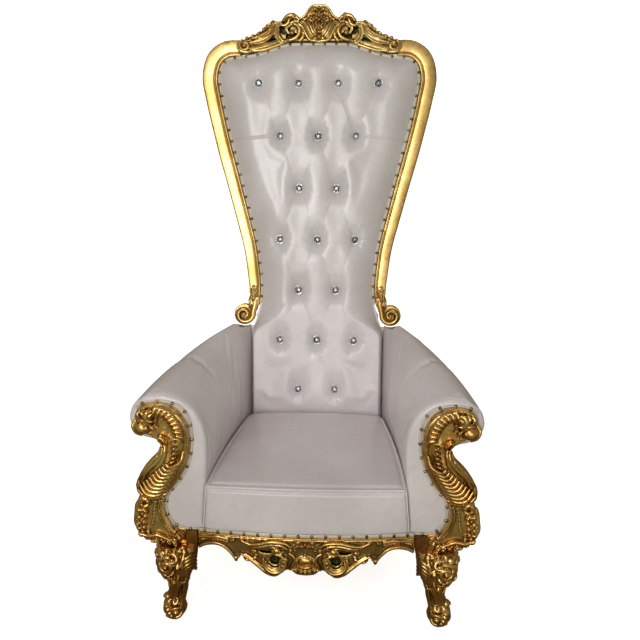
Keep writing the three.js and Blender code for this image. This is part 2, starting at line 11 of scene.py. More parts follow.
import bmesh
import bpy
import numpy as np
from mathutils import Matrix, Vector


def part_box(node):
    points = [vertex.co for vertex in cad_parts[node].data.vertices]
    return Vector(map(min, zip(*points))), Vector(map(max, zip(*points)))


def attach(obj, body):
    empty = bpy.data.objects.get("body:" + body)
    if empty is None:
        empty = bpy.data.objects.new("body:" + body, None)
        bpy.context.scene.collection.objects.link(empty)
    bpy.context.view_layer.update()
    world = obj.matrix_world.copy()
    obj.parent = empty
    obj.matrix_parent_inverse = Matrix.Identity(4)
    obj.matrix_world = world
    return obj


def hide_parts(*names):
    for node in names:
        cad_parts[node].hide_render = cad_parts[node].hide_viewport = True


MM = 0.001
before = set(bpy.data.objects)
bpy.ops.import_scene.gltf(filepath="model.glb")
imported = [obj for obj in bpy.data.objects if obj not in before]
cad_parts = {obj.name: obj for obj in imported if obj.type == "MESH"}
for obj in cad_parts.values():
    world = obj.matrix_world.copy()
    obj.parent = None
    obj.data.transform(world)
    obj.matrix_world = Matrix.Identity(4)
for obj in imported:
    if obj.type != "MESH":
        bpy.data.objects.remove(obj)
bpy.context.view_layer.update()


def span(node):
    """Lowest and highest corner of a CAD node, in mm."""
    low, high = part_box(node)
    return np.array(low) / MM, np.array(high) / MM


# %% [markdown]
# ## Surfaces that carry the carving
# A carver draws the ornament on a board and cuts it from the front. So every ornament here is drawn flat,
# as x across and z up, with a rise off the board, and one function bends the board into its place: the
# leaning back, the flat front of an arm, the bowed front rail or the swelling front of a leg.

# %% Boards
RECLINE = math.radians(8.66)
BACK_Y = 139.4
FRONT_Y = -400.0
FACING_THICKNESS = 12.0
BOW = 26.0
BOW_HALF = 315.0


def stack(*parts):
    """Arrays side by side as points, after each is spread to the common shape."""
    return np.stack(np.broadcast_arrays(*parts), -1).astype(float)


def on_back(x, z, rise):
    """The leaning back: z runs up along it, and a rise comes forward at right angles to it."""
    s, c = math.sin(RECLINE), math.cos(RECLINE)
    return stack(x, BACK_Y + z * s - rise * c, z * c + rise * s)


def on_facing(x, z, rise):
    """The flat front of an arm."""
    return stack(x, FRONT_Y - FACING_THICKNESS - rise, z)


def bow_y(x):
    """The seat's front line: a parabola that comes forward by BOW in the middle."""
    return FRONT_Y - BOW * (1 - (x / BOW_HALF) ** 2)


def on_apron(x, z, rise):
    """The bowed front rail."""
    return stack(x, bow_y(x) - rise, z)


low, high = span("back_cover")
print("back cover:", low.round(), high.round(), "foot of its front:", on_back(0, 292, -10).round(1))

# %% [markdown]
# ## Closed skins
# Each stroke of carving is a tube: a row of rings with the same number of points, skinned with quads and
# closed by one face at each end. Whole arrays make the rings, so a leaf with hundreds of points is one sum.

# %% Skins
def tube(rings):
    """Closed skin over rings (n, m, 3): point j of ring i meets point j + 1 and the next ring's pair."""
    n, m = rings.shape[:2]
    i = np.arange(n - 1)[:, None] * m
    j = np.arange(m)[None, :]
    k = (j + 1) % m
    quads = np.stack([i + j, i + k, i + k + m, i + j + m], -1).reshape(-1, 4)
    ends = [list(range(m))[::-1], list(range((n - 1) * m, n * m))]
    return rings.reshape(-1, 3), quads.tolist() + ends


def spread(values, count):
    """A few evenly spaced values, read at `count` even places."""
    values = np.atleast_1d(values).astype(float)
    knots = max(len(values), 2)
    return np.interp(np.linspace(0, 1, count), np.linspace(0, 1, knots), np.resize(values, knots))


def mirror(shapes):
    """The same shapes and their mirror images in the plane x = 0."""
    return shapes + [(points * [-1, 1, 1], faces) for points, faces in shapes]


# %% [markdown]
# ## Strokes of carving
# A stroke follows a line on the board. Across it runs a profile, a number from 0 to 1 at each place: a plain
# round, reeds along it, a veined leaf or a gutter between two lips. The ornament could be sculpted freely,
# but a chisel works in strokes too. Leaves, scrolls and rosettes made of them all show the same hand.

# %% Profiles across a stroke: a runs from -1 to 1 across, t from 0 to 1 along
def rounded(a, t):
    """A half circle."""
    return np.sqrt(np.clip(1 - a * a, 0, 1)) + 0 * t


def reeded(count):
    """Side by side round reeds along the stroke, under one half circle."""
    return lambda a, t: rounded(a, t) ** 0.5 * (0.76 + 0.24 * np.abs(np.sin(np.pi * count * (a + 1) / 2)))


def veined(lobes):
    """A leaf: a groove down its middle rib, and hollows that run out from the rib to the edge."""
    groove = lambda a: 1 - 0.2 * np.exp(-((a / 0.18) ** 2))
    hollow = lambda a, t: 0.84 + 0.16 * np.abs(np.cos(np.pi * lobes * (t - 0.25 * np.abs(a))))
    return lambda a, t: rounded(a, t) ** 0.7 * groove(a) * hollow(a, t)


def gutter(a, t):
    """A hollow between two raised lips."""
    return np.clip(1 - a**8, 0, 1) * (0.72 + 0.28 * np.abs(a) ** 2) + 0 * t


# %% Strokes
def stroke(line, half, rise, place, profile=None, root=6.0, columns=15):
    """Rings across a line (n, 2), its height on top and two points sunk by root below. The height is a
    profile times the rise; without one the stroke is a reed, a round as high as it is wide on a steep foot."""
    line = np.asarray(line, float)
    n = len(line)
    half, rise = spread(half, n)[:, None], spread(rise, n)[:, None]
    half = half if profile else half * 1.25
    run = np.gradient(line, axis=0)
    run /= np.linalg.norm(run, axis=1)[:, None] + 1e-9
    a = np.cos(np.linspace(0, np.pi, columns))[None, :]
    t = np.linspace(0, 1, n)[:, None]
    x = line[:, :1] - run[:, 1:] * half * a
    z = line[:, 1:] + run[:, :1] * half * a
    cap = np.minimum(0.8 * half, 0.8 * rise)
    foot = (rise - cap) * (1 - np.clip((np.abs(a) - 0.86) / 0.14, 0, 1) ** 2)
    height = profile(a, t) * rise if profile else foot + cap * rounded(np.clip(a / 0.92, -1, 1), t)
    top = place(x, z, height)
    ends = [-1, 0]
    foot = place(x[:, ends], z[:, ends], -root)
    return tube(np.concatenate([top, foot], 1))


def volute(centre, radii, angles, half, rise, place, profile=None, root=6.0, count=60):
    """A spiral stroke: radius and angle, in degrees, both run evenly."""
    a = np.radians(np.linspace(*angles, count))
    r = np.linspace(*radii, count)
    line = np.stack([centre[0] + r * np.cos(a), centre[1] + r * np.sin(a)], -1)
    return stroke(line, half, rise, place, profile, root)


def leaf(base, angle, length, width, rise, place, bend=0.0, lobes=4, root=6.0, profile=None):
    """A leaf whose rib turns evenly by bend degrees; its edge is scalloped, and it swells towards its tip."""
    n = 26
    t = np.linspace(0, 1, n)
    heading = np.radians(angle + bend * t)
    steps = np.stack([np.cos(heading), np.sin(heading)], -1) * length / n
    line = np.asarray(base, float) + np.cumsum(steps, 0)
    edge = np.sin(np.pi * (0.08 + 0.92 * t) ** 0.75) ** 0.75 * (0.8 + 0.2 * np.abs(np.cos(np.pi * lobes * t)))
    half = width * np.maximum(edge, 0.06)
    lift = rise * (0.4 + 0.6 * np.sin(np.pi * np.clip(t, 0.02, 0.96) ** 1.2))
    return stroke(line, half, lift, place, None if profile is rounded else profile or veined(lobes), root)


def bead(centre, r, rise, place, tall=None):
    """A ball, or a taller or flatter one: rings of latitude from pole to pole, its middle at a rise."""
    lat = np.linspace(0.02, np.pi - 0.02, 9)[:, None]
    lon = np.linspace(0, 2 * np.pi, 16, endpoint=False)[None, :]
    rx, rz = (r, r) if np.isscalar(r) else r
    x = centre[0] + rx * np.sin(lat) * np.cos(lon)
    z = centre[1] + rz * np.sin(lat) * np.sin(lon)
    return tube(place(x, z, rise + (tall or min(rx, rz)) * np.cos(lat)))


def bead_row(line, r, rise, place):
    """Equal beads at the points of a line."""
    return [bead(p, r, rise, place) for p in line]


def rosette(centre, r, petals, rise, place, turn=0.0):
    """Petals round a bead."""
    angles = turn + np.arange(petals) * 360 / petals
    ring = [leaf(centre, a, r, r * 2.1 / petals, rise, place, lobes=1) for a in angles]
    return ring + [bead(centre, r * 0.26, rise * 0.9, place)]


def board(outline, back, front, place, bevel=2.0):
    """A flat body cut to an outline: three rings, the front one brought in by the bevel."""
    p = np.asarray(outline, float)
    run = np.roll(p, -1, 0) - np.roll(p, 1, 0)
    run /= np.linalg.norm(run, axis=1)[:, None] + 1e-9
    area = np.sum(p[:, 0] * np.roll(p[:, 1], -1) - np.roll(p[:, 0], -1) * p[:, 1])
    inner = p + np.sign(area) * bevel * np.stack([-run[:, 1], run[:, 0]], -1)
    rings = [place(q[:, 0], q[:, 1], rise) for q, rise in ((p, back), (p, front - bevel), (inner, front))]
    return tube(np.stack(rings))


print("a leaf has", len(leaf((0, 0), 0, 30, 8, 6, on_back)[0]), "points")

# %% [markdown]
# ## Making a piece
# Gesso and gold leaf round off every cut of the chisel and run the strokes of a carving into one skin. A
# voxel remesh does the same: it melts the overlapping strokes into one closed surface. A little relaxing
# takes the voxel steps away. Last, each point stores how deep it lies in a hollow, because that is where
# burnishing never reaches and the toning wax stays, and where the gold gets painted shade.

# %% Meshes
VOXEL = 1.35  # mm, the finest step that a carved skin keeps
# The hollow depth sets how much olive toning wax and painted shade a point gets.
WAX_AND_SHADE_DEPTH, WAX_AND_SHADE_ROUNDS = 0.6, 9  # mm of hollow that holds a full coat of wax, and how far round it is felt


def gather(shapes):
    """Many shapes as one list of points and one of faces."""
    points, faces, start = [], [], 0
    for p, f in shapes:
        points.append(p)
        faces += [[start + k for k in face] for face in f]
        start += len(p)
    return np.concatenate(points), faces


def mesh_of(name, shapes):
    """A mesh, in metres, of shapes in mm, with every face turned outwards."""
    points, faces = gather(shapes)
    mesh = bpy.data.meshes.new(name)
    mesh.from_pydata((points * MM).tolist(), [], faces)
    work = bmesh.new()
    work.from_mesh(mesh)
    bmesh.ops.recalc_face_normals(work, faces=work.faces)
    work.to_mesh(mesh)
    work.free()
    return mesh


def coordinates(mesh):
    """The mesh's points as an array, in metres."""
    flat = np.empty(len(mesh.vertices) * 3, np.float32)
    mesh.vertices.foreach_get("co", flat)
    return flat.reshape(-1, 3).astype(float)


def neighbour_mean(mesh):
    """A function that gives, for any array of points, the mean of each point's neighbours."""
    pairs = np.empty(len(mesh.edges) * 2, np.int32)
    mesh.edges.foreach_get("vertices", pairs)
    a, b = pairs.reshape(-1, 2).T
    count = len(mesh.vertices)
    ends, others = np.concatenate([a, b]), np.concatenate([b, a])
    degree = np.maximum(np.bincount(ends, minlength=count), 1)[:, None]
    total = lambda v: np.stack([np.bincount(ends, v[others, k], count) for k in range(v.shape[1])], -1)
    return lambda v: total(v) / degree


def relax(mesh, rounds):
    """Moves each point half way to its neighbours' mean, so many times."""
    v, mean = coordinates(mesh), neighbour_mean(mesh)
    for _ in range(rounds):
        v += 0.5 * (mean(v) - v)
    mesh.vertices.foreach_set("co", v.astype(np.float32).ravel())
    mesh.update()


def store_hollows(mesh, depth=WAX_AND_SHADE_DEPTH, sunk=0.0):
    """Attribute hollow: how far, out of depth in mm, a relaxed copy of the skin lies outside the skin; sunk,
    from 0 to 2 at each point, adds the places that lie deep in the board. The gold darkens by it to olive,
    as toning wax and as painted shade."""
    v, mean = coordinates(mesh), neighbour_mean(mesh)
    w = v.copy()
    for _ in range(WAX_AND_SHADE_ROUNDS):
        w = mean(w)
    normals = np.empty(len(v) * 3, np.float32)
    mesh.vertices.foreach_get("normal", normals)
    hollow = np.einsum("ij,ij->i", w - v, normals.reshape(-1, 3)) / (depth * MM)
    layer = mesh.attributes.new("hollow", "FLOAT", "POINT")
    layer.data.foreach_set("value", (np.clip(hollow, -1, 1) + sunk).astype(np.float32))


def melted(name, shapes, voxel=VOXEL):
    """One skin over overlapping shapes: voxels of so many mm, then relaxed twice."""
    rough = bpy.data.objects.new(name, mesh_of(name, shapes))
    bpy.context.collection.objects.link(rough)
    change = rough.modifiers.new("melt", "REMESH")
    change.mode = "VOXEL"
    change.voxel_size = voxel * MM
    depsgraph = bpy.context.evaluated_depsgraph_get()
    mesh = bpy.data.meshes.new_from_object(rough.evaluated_get(depsgraph))
    bpy.data.objects.remove(rough)
    relax(mesh, 2)
    return mesh


def thinned(mesh, most):
    """The same skin with at most so many triangles; flat places give theirs up first."""
    count = len(mesh.loops) - 2 * len(mesh.polygons)
    rough = bpy.data.objects.new("thin", mesh)
    bpy.context.collection.objects.link(rough)
    change = rough.modifiers.new("thin", "DECIMATE")
    change.ratio = min(1.0, most / count)
    fewer = bpy.data.meshes.new_from_object(rough.evaluated_get(bpy.context.evaluated_depsgraph_get()))
    bpy.data.objects.remove(rough)
    return fewer


def place_piece(name, mesh, material, slot, *nodes, smooth_faces=True):
    """A finished object on the root body; it stands for the CAD nodes named."""
    mesh.name = name
    mesh.materials.clear()
    mesh.materials.append(material)
    if smooth_faces:
        sides = np.empty(len(mesh.polygons), np.int32)
        mesh.polygons.foreach_get("loop_total", sides)
        mesh.polygons.foreach_set("use_smooth", sides < 9)
    piece = bpy.data.objects.new(name, mesh)
    bpy.context.collection.objects.link(piece)
    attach(piece, "root")
    if nodes:
        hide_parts(*nodes)
    triangles = len(mesh.loops) - 2 * len(mesh.polygons)
    print(f"{name}: {triangles} triangles")
    return piece


def mirrored_mesh(mesh):
    """A copy of a mesh mirrored in the plane x = 0, its faces turned back outwards."""
    copy = mesh.copy()
    v = coordinates(copy) * [-1, 1, 1]
    copy.vertices.foreach_set("co", v.astype(np.float32).ravel())
    copy.flip_normals()
    return copy


def place_pair(name, mesh, material, slot, node):
    """The piece of the right side and its mirror image; the braces in both names stand for the side."""
    sides = (("right", mesh), ("left", mirrored_mesh(mesh)))
    return [place_piece(name.format(side), shape, material, slot, node.format(side))
            for side, shape in sides]


def joined(*meshes):
    """Several meshes as one."""
    work = bmesh.new()
    for mesh in meshes:
        work.from_mesh(mesh)
    whole = bpy.data.meshes.new(meshes[0].name)
    work.to_mesh(whole)
    work.free()
    return whole


# %% [markdown]
# ## Finishes
# A finish starts from what the real one is. Gold leaf over red bole is a metal skin: it mirrors the room,
# goes dull and olive in the hollows under toning wax and painted shade, and thins to the red bole where it
# is handled. Pearl leatherette is a soft plastic skin with a fine grain and a clear top coat. Patterns read
# object coordinates, so they stay in place, and their scales are worked out from real sizes in millimetres.

# %% Nodes
def linear(code):
    """An sRGB hex colour as linear red, green and blue, with alpha 1."""
    c = np.array([int(code[i : i + 2], 16) for i in (1, 3, 5)]) / 255
    return (*np.where(c <= 0.04045, c / 12.92, ((c + 0.055) / 1.055) ** 2.4).tolist(), 1.0)


def finish(name, **sockets):
    """A new material; values go straight onto its shader's sockets."""
    material = bpy.data.materials.new(name)
    material.use_nodes = True
    shader = material.node_tree.nodes["Principled BSDF"]
    for key, value in sockets.items():
        shader.inputs[key.replace("_", " ")].default_value = value
    return material


def add(material, kind, inputs=(), **settings):
    """Adds one node: settings are its own, inputs are values or the sockets that feed them."""
    node = material.node_tree.nodes.new("ShaderNode" + kind)
    for key, value in settings.items():
        setattr(node, key, value)
    for key, value in dict(inputs).items():
        if isinstance(value, bpy.types.NodeSocket):
            material.node_tree.links.new(value, node.inputs[key])
        else:
            node.inputs[key].default_value = value
    return node


def feed(material, **sockets):
    """Links sockets into the shader's inputs."""
    shader = material.node_tree.nodes["Principled BSDF"]
    for key, value in sockets.items():
        material.node_tree.links.new(value, shader.inputs[key.replace("_", " ")])


def patches(material, size, low=0.4, high=0.6, detail=3.0, to=(0.0, 1.0)):
    """Soft noise whose patches are about size mm wide, cut between low and high and mapped to a range."""
    place = add(material, "TexCoord").outputs["Object"]
    noise = add(material, "TexNoise", {"Vector": place, "Scale": 0.5 / (size * MM), "Detail": detail})
    cut = {"Value": noise.outputs["Fac"], "From Min": low, "From Max": high, "To Min": to[0], "To Max": to[1]}
    return add(material, "MapRange", cut).outputs["Result"]


def blend_colours(material, share, first, second):
    """From the first colour to the second as share goes from 0 to 1."""
    ends = [linear(c) if isinstance(c, str) else c for c in (first, second)]
    return add(material, "Mix", {0: share, 6: ends[0], 7: ends[1]}, data_type="RGBA").outputs[2]


def times(material, a, b):
    """The product of two numbers."""
    return add(material, "Math", {0: a, 1: b}, operation="MULTIPLY").outputs[0]


# %% Gold leaf
# The olive colour is toning wax and painted shade in hollows, and painted dark reflection on the flat ground.
RED_BOLE, OLIVE_WAX_AND_SHADE = "#8f4c22", "#363b1d"


def gold_leaf(name, bright, deep, wear, gloss, wax_and_shade_share):
    """Oil gilding over red bole. Hollows hold olive toning wax and painted shade, the sunk fields a full coat
    of painted shade; wear is how much bole shows on high places.

    Leaf over hand-sanded gesso is never flat: it waves by a tenth of a millimetre every 12 mm or so.
    """
    gold = finish(name, Metallic=1.0, Coat_Weight=0.35, Coat_Roughness=0.16)
    hollow = add(gold, "Attribute", attribute_name="hollow").outputs["Fac"]
    # Painted shade: the olive colour fills the hollows and, in full, the sunk fields, as shade would darken
    # them.
    wax_and_shade = {"Value": hollow, "From Min": 0.1, "From Max": 0.95, "To Max": wax_and_shade_share}
    wax_and_shade = add(gold, "MapRange", wax_and_shade).outputs["Result"]
    sunk_field_shade = add(gold, "MapRange", {"Value": hollow, "From Min": 1.1, "From Max": 1.9}).outputs["Result"]
    wax_and_shade = add(gold, "Math", {0: wax_and_shade, 1: sunk_field_shade}, operation="MAXIMUM").outputs[0]
    leaf_colour = blend_colours(gold, patches(gold, 60, 0.35, 0.65), bright, deep)
    bole = times(gold, patches(gold, 40, 0.5, 0.72, 4.0), wear)
    worn = blend_colours(gold, bole, leaf_colour, RED_BOLE)
    feed(gold, Base_Color=blend_colours(gold, wax_and_shade, worn, OLIVE_WAX_AND_SHADE))
    grain = patches(gold, 9, 0.3, 0.7, 5.0, (gloss, gloss + 0.14))
    dull = add(gold, "Math", {0: wax_and_shade, 1: 0.2, 2: grain}, operation="MULTIPLY_ADD").outputs[0]
    feed(gold, Roughness=dull)
    waves = add(gold, "Bump", {"Height": patches(gold, 12, 0.0, 1.0, 2.0), "Strength": 0.3, "Distance": 0.0004})
    fine = {"Height": patches(gold, 2.5, 0.0, 1.0, 2.0), "Strength": 0.2, "Distance": 0.0001}
    fine["Normal"] = waves.outputs["Normal"]
    feed(gold, Normal=add(gold, "Bump", fine).outputs["Normal"])
    return gold


satin_gold = gold_leaf("satin_gold_leaf", "#e6c37b", "#c79b53", 0.3, 0.24, 0.62)
bright_gold = gold_leaf("burnished_gold_leaf", "#efc274", "#cc984e", 0.35, 0.18, 0.8)
print("gold leaf:", satin_gold.name, bright_gold.name)


# %% Pearl leatherette
def leatherette(name, light, shade, crease=0.5):
    """Polyurethane-coated cloth: embossed hide grain of about 1.2 mm, drawn at 2 mm so that it shows, under a
    clear satin coat. Broad patches vary the tone a little, as stretched skin does."""
    skin = finish(name, Metallic=0.0, IOR=1.5, Coat_Weight=0.5, Coat_Roughness=0.19, Sheen_Weight=0.05)
    tone = blend_colours(skin, patches(skin, 130, 0.35, 0.65), light, shade)
    feed(skin, Base_Color=blend_colours(skin, patches(skin, 7, 0.45, 0.8, to=(0.0, 0.12)), tone, "#8f857e"))
    feed(skin, Roughness=patches(skin, 35, 0.3, 0.7, 4.0, (0.34, 0.46)))
    place = add(skin, "TexCoord").outputs["Object"]
    cells = {"Vector": place, "Scale": 1 / (2 * MM)}
    grain = add(skin, "TexVoronoi", cells, feature="DISTANCE_TO_EDGE").outputs["Distance"]
    soft = add(skin, "Bump", {"Height": patches(skin, 28, 0.0, 1.0, 3.0), "Strength": crease,
                              "Distance": 0.0012})
    fine = {"Height": grain, "Strength": 0.12, "Distance": 0.0002, "Normal": soft.outputs["Normal"]}
    feed(skin, Normal=add(skin, "Bump", fine).outputs["Normal"])
    return skin


pearl = leatherette("pearl_leatherette", "#ebe3e3", "#ddd3d3")
gimp_cloth = leatherette("gimp_leatherette", "#ded6cb", "#c9bea9", 0.2)

# %% Crystal, foil, nails and bole
cut_crystal = finish("cut_crystal", Transmission_Weight=1.0, IOR=1.54, Metallic=0.0)
feed(cut_crystal, Roughness=patches(cut_crystal, 6, 0.3, 0.7, to=(0.0, 0.03)))
feed(cut_crystal, Base_Color=blend_colours(cut_crystal, patches(cut_crystal, 9), "#ffffff", "#e9eef4"))
silver_foil = finish("silver_foil", Metallic=1.0)
feed(silver_foil, Base_Color=blend_colours(silver_foil, patches(silver_foil, 4), "#f2f2f0", "#b9bcc0"))
feed(silver_foil, Roughness=patches(silver_foil, 3, 0.3, 0.7, to=(0.08, 0.22)))
nail_brass = finish("antique_brass_nail", Metallic=1.0)
feed(nail_brass, Base_Color=blend_colours(nail_brass, patches(nail_brass, 5, 0.4, 0.62), "#b39c62", "#574a32"))
feed(nail_brass, Roughness=patches(nail_brass, 3, 0.3, 0.7, to=(0.18, 0.36)))
wood_bole = finish("bole_on_beech", Metallic=0.55)
feed(wood_bole, Base_Color=blend_colours(wood_bole, patches(wood_bole, 22, 0.4, 0.66), "#6a3d16", "#8e5f22"))
feed(wood_bole, Roughness=patches(wood_bole, 8, 0.3, 0.7, to=(0.22, 0.4)))
print("finishes:", [m.name for m in bpy.data.materials])
# %% [markdown]
# ## The stiles
# Each upright of the back is a bent board that swells over the shoulder, tapers down to the arms and ends
# in a volute. Its front is a run moulding: a broad flat swell that rolls over outside, a quirk and a round
# bead inside. A moulding plane would cut it with one iron, so one profile is carried down one line.

# %% Lines with a centripetal spline, the way a spline batten bends
def batten(points, count):
    """Centripetal Catmull-Rom: each span is a cubic whose end slopes weigh its neighbours by the root of
    their lengths; the result is read at even steps of length."""
    p = np.asarray(points, float)
    q = np.vstack([2 * p[0] - p[1], p, 2 * p[-1] - p[-2]])
    gap = np.maximum(np.linalg.norm(np.diff(q, axis=0), axis=1), 1e-6)[:, None] ** 0.5
    slope = np.diff(q, axis=0) / gap
    wide = (q[2:] - q[:-2]) / (gap[1:] + gap[:-1])
    tangent = slope[:-1] - wide + slope[1:]
    u = np.linspace(0, len(p) - 1 - 1e-9, 60 * len(p))
    i = u.astype(int)
    f = (u - i)[:, None]
    step = gap[i + 1]
    start, end, a, b = p[i], p[i + 1], tangent[i] * step, tangent[i + 1] * step
    line = start + a * f + (3 * (end - start) - 2 * a - b) * f**2 + (2 * (start - end) + a + b) * f**3
    run = np.concatenate([[0], np.cumsum(np.linalg.norm(np.diff(line, axis=0), axis=1))])
    even = np.linspace(0, run[-1], count)
    return np.stack([np.interp(even, run, line[:, k]) for k in range(p.shape[1])], -1)


def strand(points, count, half, rise, place, profile=None):
    """A stroke along the spline through a few points."""
    return stroke(batten(points, count), half, rise, place, profile)


STILE_POINTS = [
    (262, 1667), (275, 1668), (315, 1664), (352, 1636), (370, 1575), (359, 1498),
    (326, 1352), (287, 1205), (258, 1093), (236, 1004), (225, 929), (218, 845), (222, 795),
]
STILE_HALVES = [27.5, 28.5, 27, 26, 25, 25, 24, 23.5, 23, 22, 21, 17]
BACK_THICKNESS = 32.0
stile_line = batten(STILE_POINTS, 260)


def swell(a, middle, half):
    """A half circle of the given middle and half width."""
    return np.sqrt(np.clip(1 - ((a - middle) / half) ** 2, 0, 1))


def stile_moulding(a, t):
    """Broad low swell that rolls over at its outer edge, quirk and inner bead; a runs from -1 inside to 1."""
    over = np.sqrt(np.clip(1 - (np.clip(a - 0.8, 0, 1) / 0.2) ** 2, 0, 1))
    broad = (8.2 + 2.0 * swell(a, 0.26, 0.74) ** 0.9) * (np.abs(a - 0.26) < 0.74) * over
    inner = (3.0 + 5.5 * swell(a, -0.79, 0.19)) * (np.abs(a + 0.79) < 0.19)
    return np.maximum(broad, np.maximum(inner, 3.0 * (a < 0.5) - 3.0 * (a >= 0.5))) + 0 * t


def moulded(line, half, place, height, back, columns=73):
    """A run moulding: height(a, t) in mm over a line, with square sides down to its back."""
    line = np.asarray(line, float)
    n = len(line)
    half = spread(half, n)[:, None]
    run = np.gradient(line, axis=0)
    run /= np.linalg.norm(run, axis=1)[:, None]
    a = np.linspace(1, -1, columns)[None, :]
    t = np.linspace(0, 1, n)[:, None]
    across = lambda s: (line[:, :1] - run[:, 1:] * half * s, line[:, 1:] + run[:, :1] * half * s)
    top = place(*across(a), height(a, t))
    low = np.array([[-1.0, -0.96, 0.96, 1.0]])
    foot = place(*across(low), -back + np.array([[3.0, 0.0, 0.0, 3.0]]))
    return tube(np.concatenate([top, foot], 1))


stile_band = moulded(stile_line, STILE_HALVES, on_back, stile_moulding, BACK_THICKNESS)
print("stile:", stile_line.shape, "widest at x", round(stile_line[:, 0].max() + 26))

# %% The volute at its foot
VOLUTE, VOLUTE_VOXEL = (256.0, 762.0), 1.3


def disc(centre, r, count=48):
    """A round outline."""
    a = np.linspace(0, 2 * np.pi, count, endpoint=False)
    return np.stack([centre[0] + r * np.cos(a), centre[1] + r * np.sin(a)], -1)


def round_band(a, t):
    """A round band with a quirk near each edge."""
    return 0.35 + 0.65 * rounded(a, t) ** 0.8 * (1 - 0.35 * np.exp(-(((np.abs(a) - 0.72) / 0.1) ** 2)))


def stile_volute():
    """The band narrows to a neck, turns one and a half times round the eye and comes forward."""
    neck = batten([(218, 862), (219, 830), (219, 800), (224, 776)], 26)
    turn = np.radians(np.linspace(168, 640, 130))
    r = np.linspace(31, 7, 130)
    coil = np.stack([VOLUTE[0] + r * np.cos(turn), VOLUTE[1] + r * np.sin(turn)], -1)
    line = np.concatenate([neck, coil])
    halves = np.interp(np.arange(len(line)), [0, 26, 60, 110, 155], [14, 9, 8.5, 6.5, 3.5])
    rises = np.interp(np.arange(len(line)), [0, 26, 60, 110, 155], [13, 14, 14, 18, 22])
    leaves = [
        leaf((232, 868), -92, 70, 8, 19, on_back, bend=-8, lobes=6, root=12),
        leaf((214, 872), -86, 62, 7, 20, on_back, bend=10, lobes=5, root=12),
        leaf((223, 880), -90, 84, 8, 22, on_back, lobes=6, root=12),
        leaf((206, 838), -84, 46, 6, 16, on_back, bend=12, lobes=4, root=12),
        leaf((236, 826), -86, 44, 6, 16, on_back, bend=-10, lobes=4, root=12),
    ]
    shapes = [board(disc(VOLUTE, 36), -30, 2, on_back),
              stroke(line, halves, rises, on_back, round_band, 20, 25)]
    shapes += leaves + [bead(VOLUTE, 8, 16, on_back, 9)]
    shapes += [stroke(neck, [18, 15, 12, 10], [6, 6, 5, 4], on_back, round_band, 31)]
    return melted("volute", shapes, VOLUTE_VOXEL)


stile_mesh = joined(mesh_of("stile", [stile_band]), stile_volute())
store_hollows(stile_mesh, 0.35)
place_pair("gilded_stile_{}", stile_mesh, satin_gold, "gilt", "stile_{}")

# %% [markdown]
# ## The crest
# The top rail is carved in high relief: a flared cartouche with a flower and a boss, two big C-scrolls with
# beads in their openings, and long leafy arms that run out to the shoulders. Between the scrolls the ground
# is sunk deep, and a full coat of painted shade there makes it read as open work. The crest is drawn once
# for the right half and mirrored, as the carver's paper pattern is folded.

# %% Sinking the ground
RAIL_TRIANGLES = 175000


def cut_through(shapes, tools):
    """The shapes with the tools cut out of them."""
    solids = []
    for name, group in (("ground", shapes), ("tools", tools)):
        solid = bpy.data.objects.new(name, mesh_of(name, group))
        bpy.context.collection.objects.link(solid)
        solids.append(solid)
    change = solids[0].modifiers.new("sink", "BOOLEAN")
    change.object = solids[1]
    change.solver, change.use_self = "EXACT", len(tools) > 1
    whole = bpy.data.meshes.new_from_object(solids[0].evaluated_get(bpy.context.evaluated_depsgraph_get()))
    for solid in solids:
        bpy.data.objects.remove(solid)
    points = coordinates(whole) / MM
    return points, [list(face.vertices) for face in whole.polygons]


def toned_and_shaded(rise, ground):
    """Where the olive colour goes, as toning wax and as painted light: half a coat of painted dark reflection
    on the ground between the carving, a full coat of painted shade in the sunk fields, and none on the rear
    face, 27 mm and more behind the drawing's plane."""
    wax_and_shade = 0.5 * np.clip((ground + 2 - rise) / 2, 0, 1) + 2 * np.clip((ground - 4 - rise) / 8, 0, 1)
    return wax_and_shade * np.clip((rise + 27) / 3, 0, 1)


def carved(name, ground, fields, shapes, out, face, material, node):
    """A ground with sunk fields and carving on it, melted into one skin; it stands for the CAD node. The
    function out gives how far points stand out of the drawing's plane, and face how far the ground does."""
    mesh = melted(name, [cut_through([ground], fields)] + shapes)
    # Painted shade in the sunk fields and painted dark reflection on the ground go into the hollow attribute.
    store_hollows(mesh, sunk=toned_and_shaded(out(coordinates(mesh) / MM), face))
    return place_piece(name, thinned(mesh, RAIL_TRIANGLES), material, "gilt", node)


# %% The crest's ornament
CREST_TOP = [
    (0, 1808), (22, 1806), (36, 1796), (48, 1778), (64, 1768), (74, 1778), (90, 1782), (108, 1776),
    (124, 1758), (146, 1756), (166, 1744), (182, 1726), (205, 1712), (236, 1705), (264, 1694),
]
CREST_FOOT = [(270, 1651), (196, 1653), (152, 1670), (101, 1685), (30, 1687)]
CREST_FACE, FIELD_FLOOR = 4, -19  # mm out of the back's plane: the ground, and the bottom of the sunk fields


def half_and_mirror(half):
    """A whole outline from its right half, which runs from the middle of the top to that of the foot."""
    half = np.asarray(half, float)
    other = half[::-1] * [-1, 1]
    return np.concatenate([half, other[(other[:, 0] < -1e-6)]])


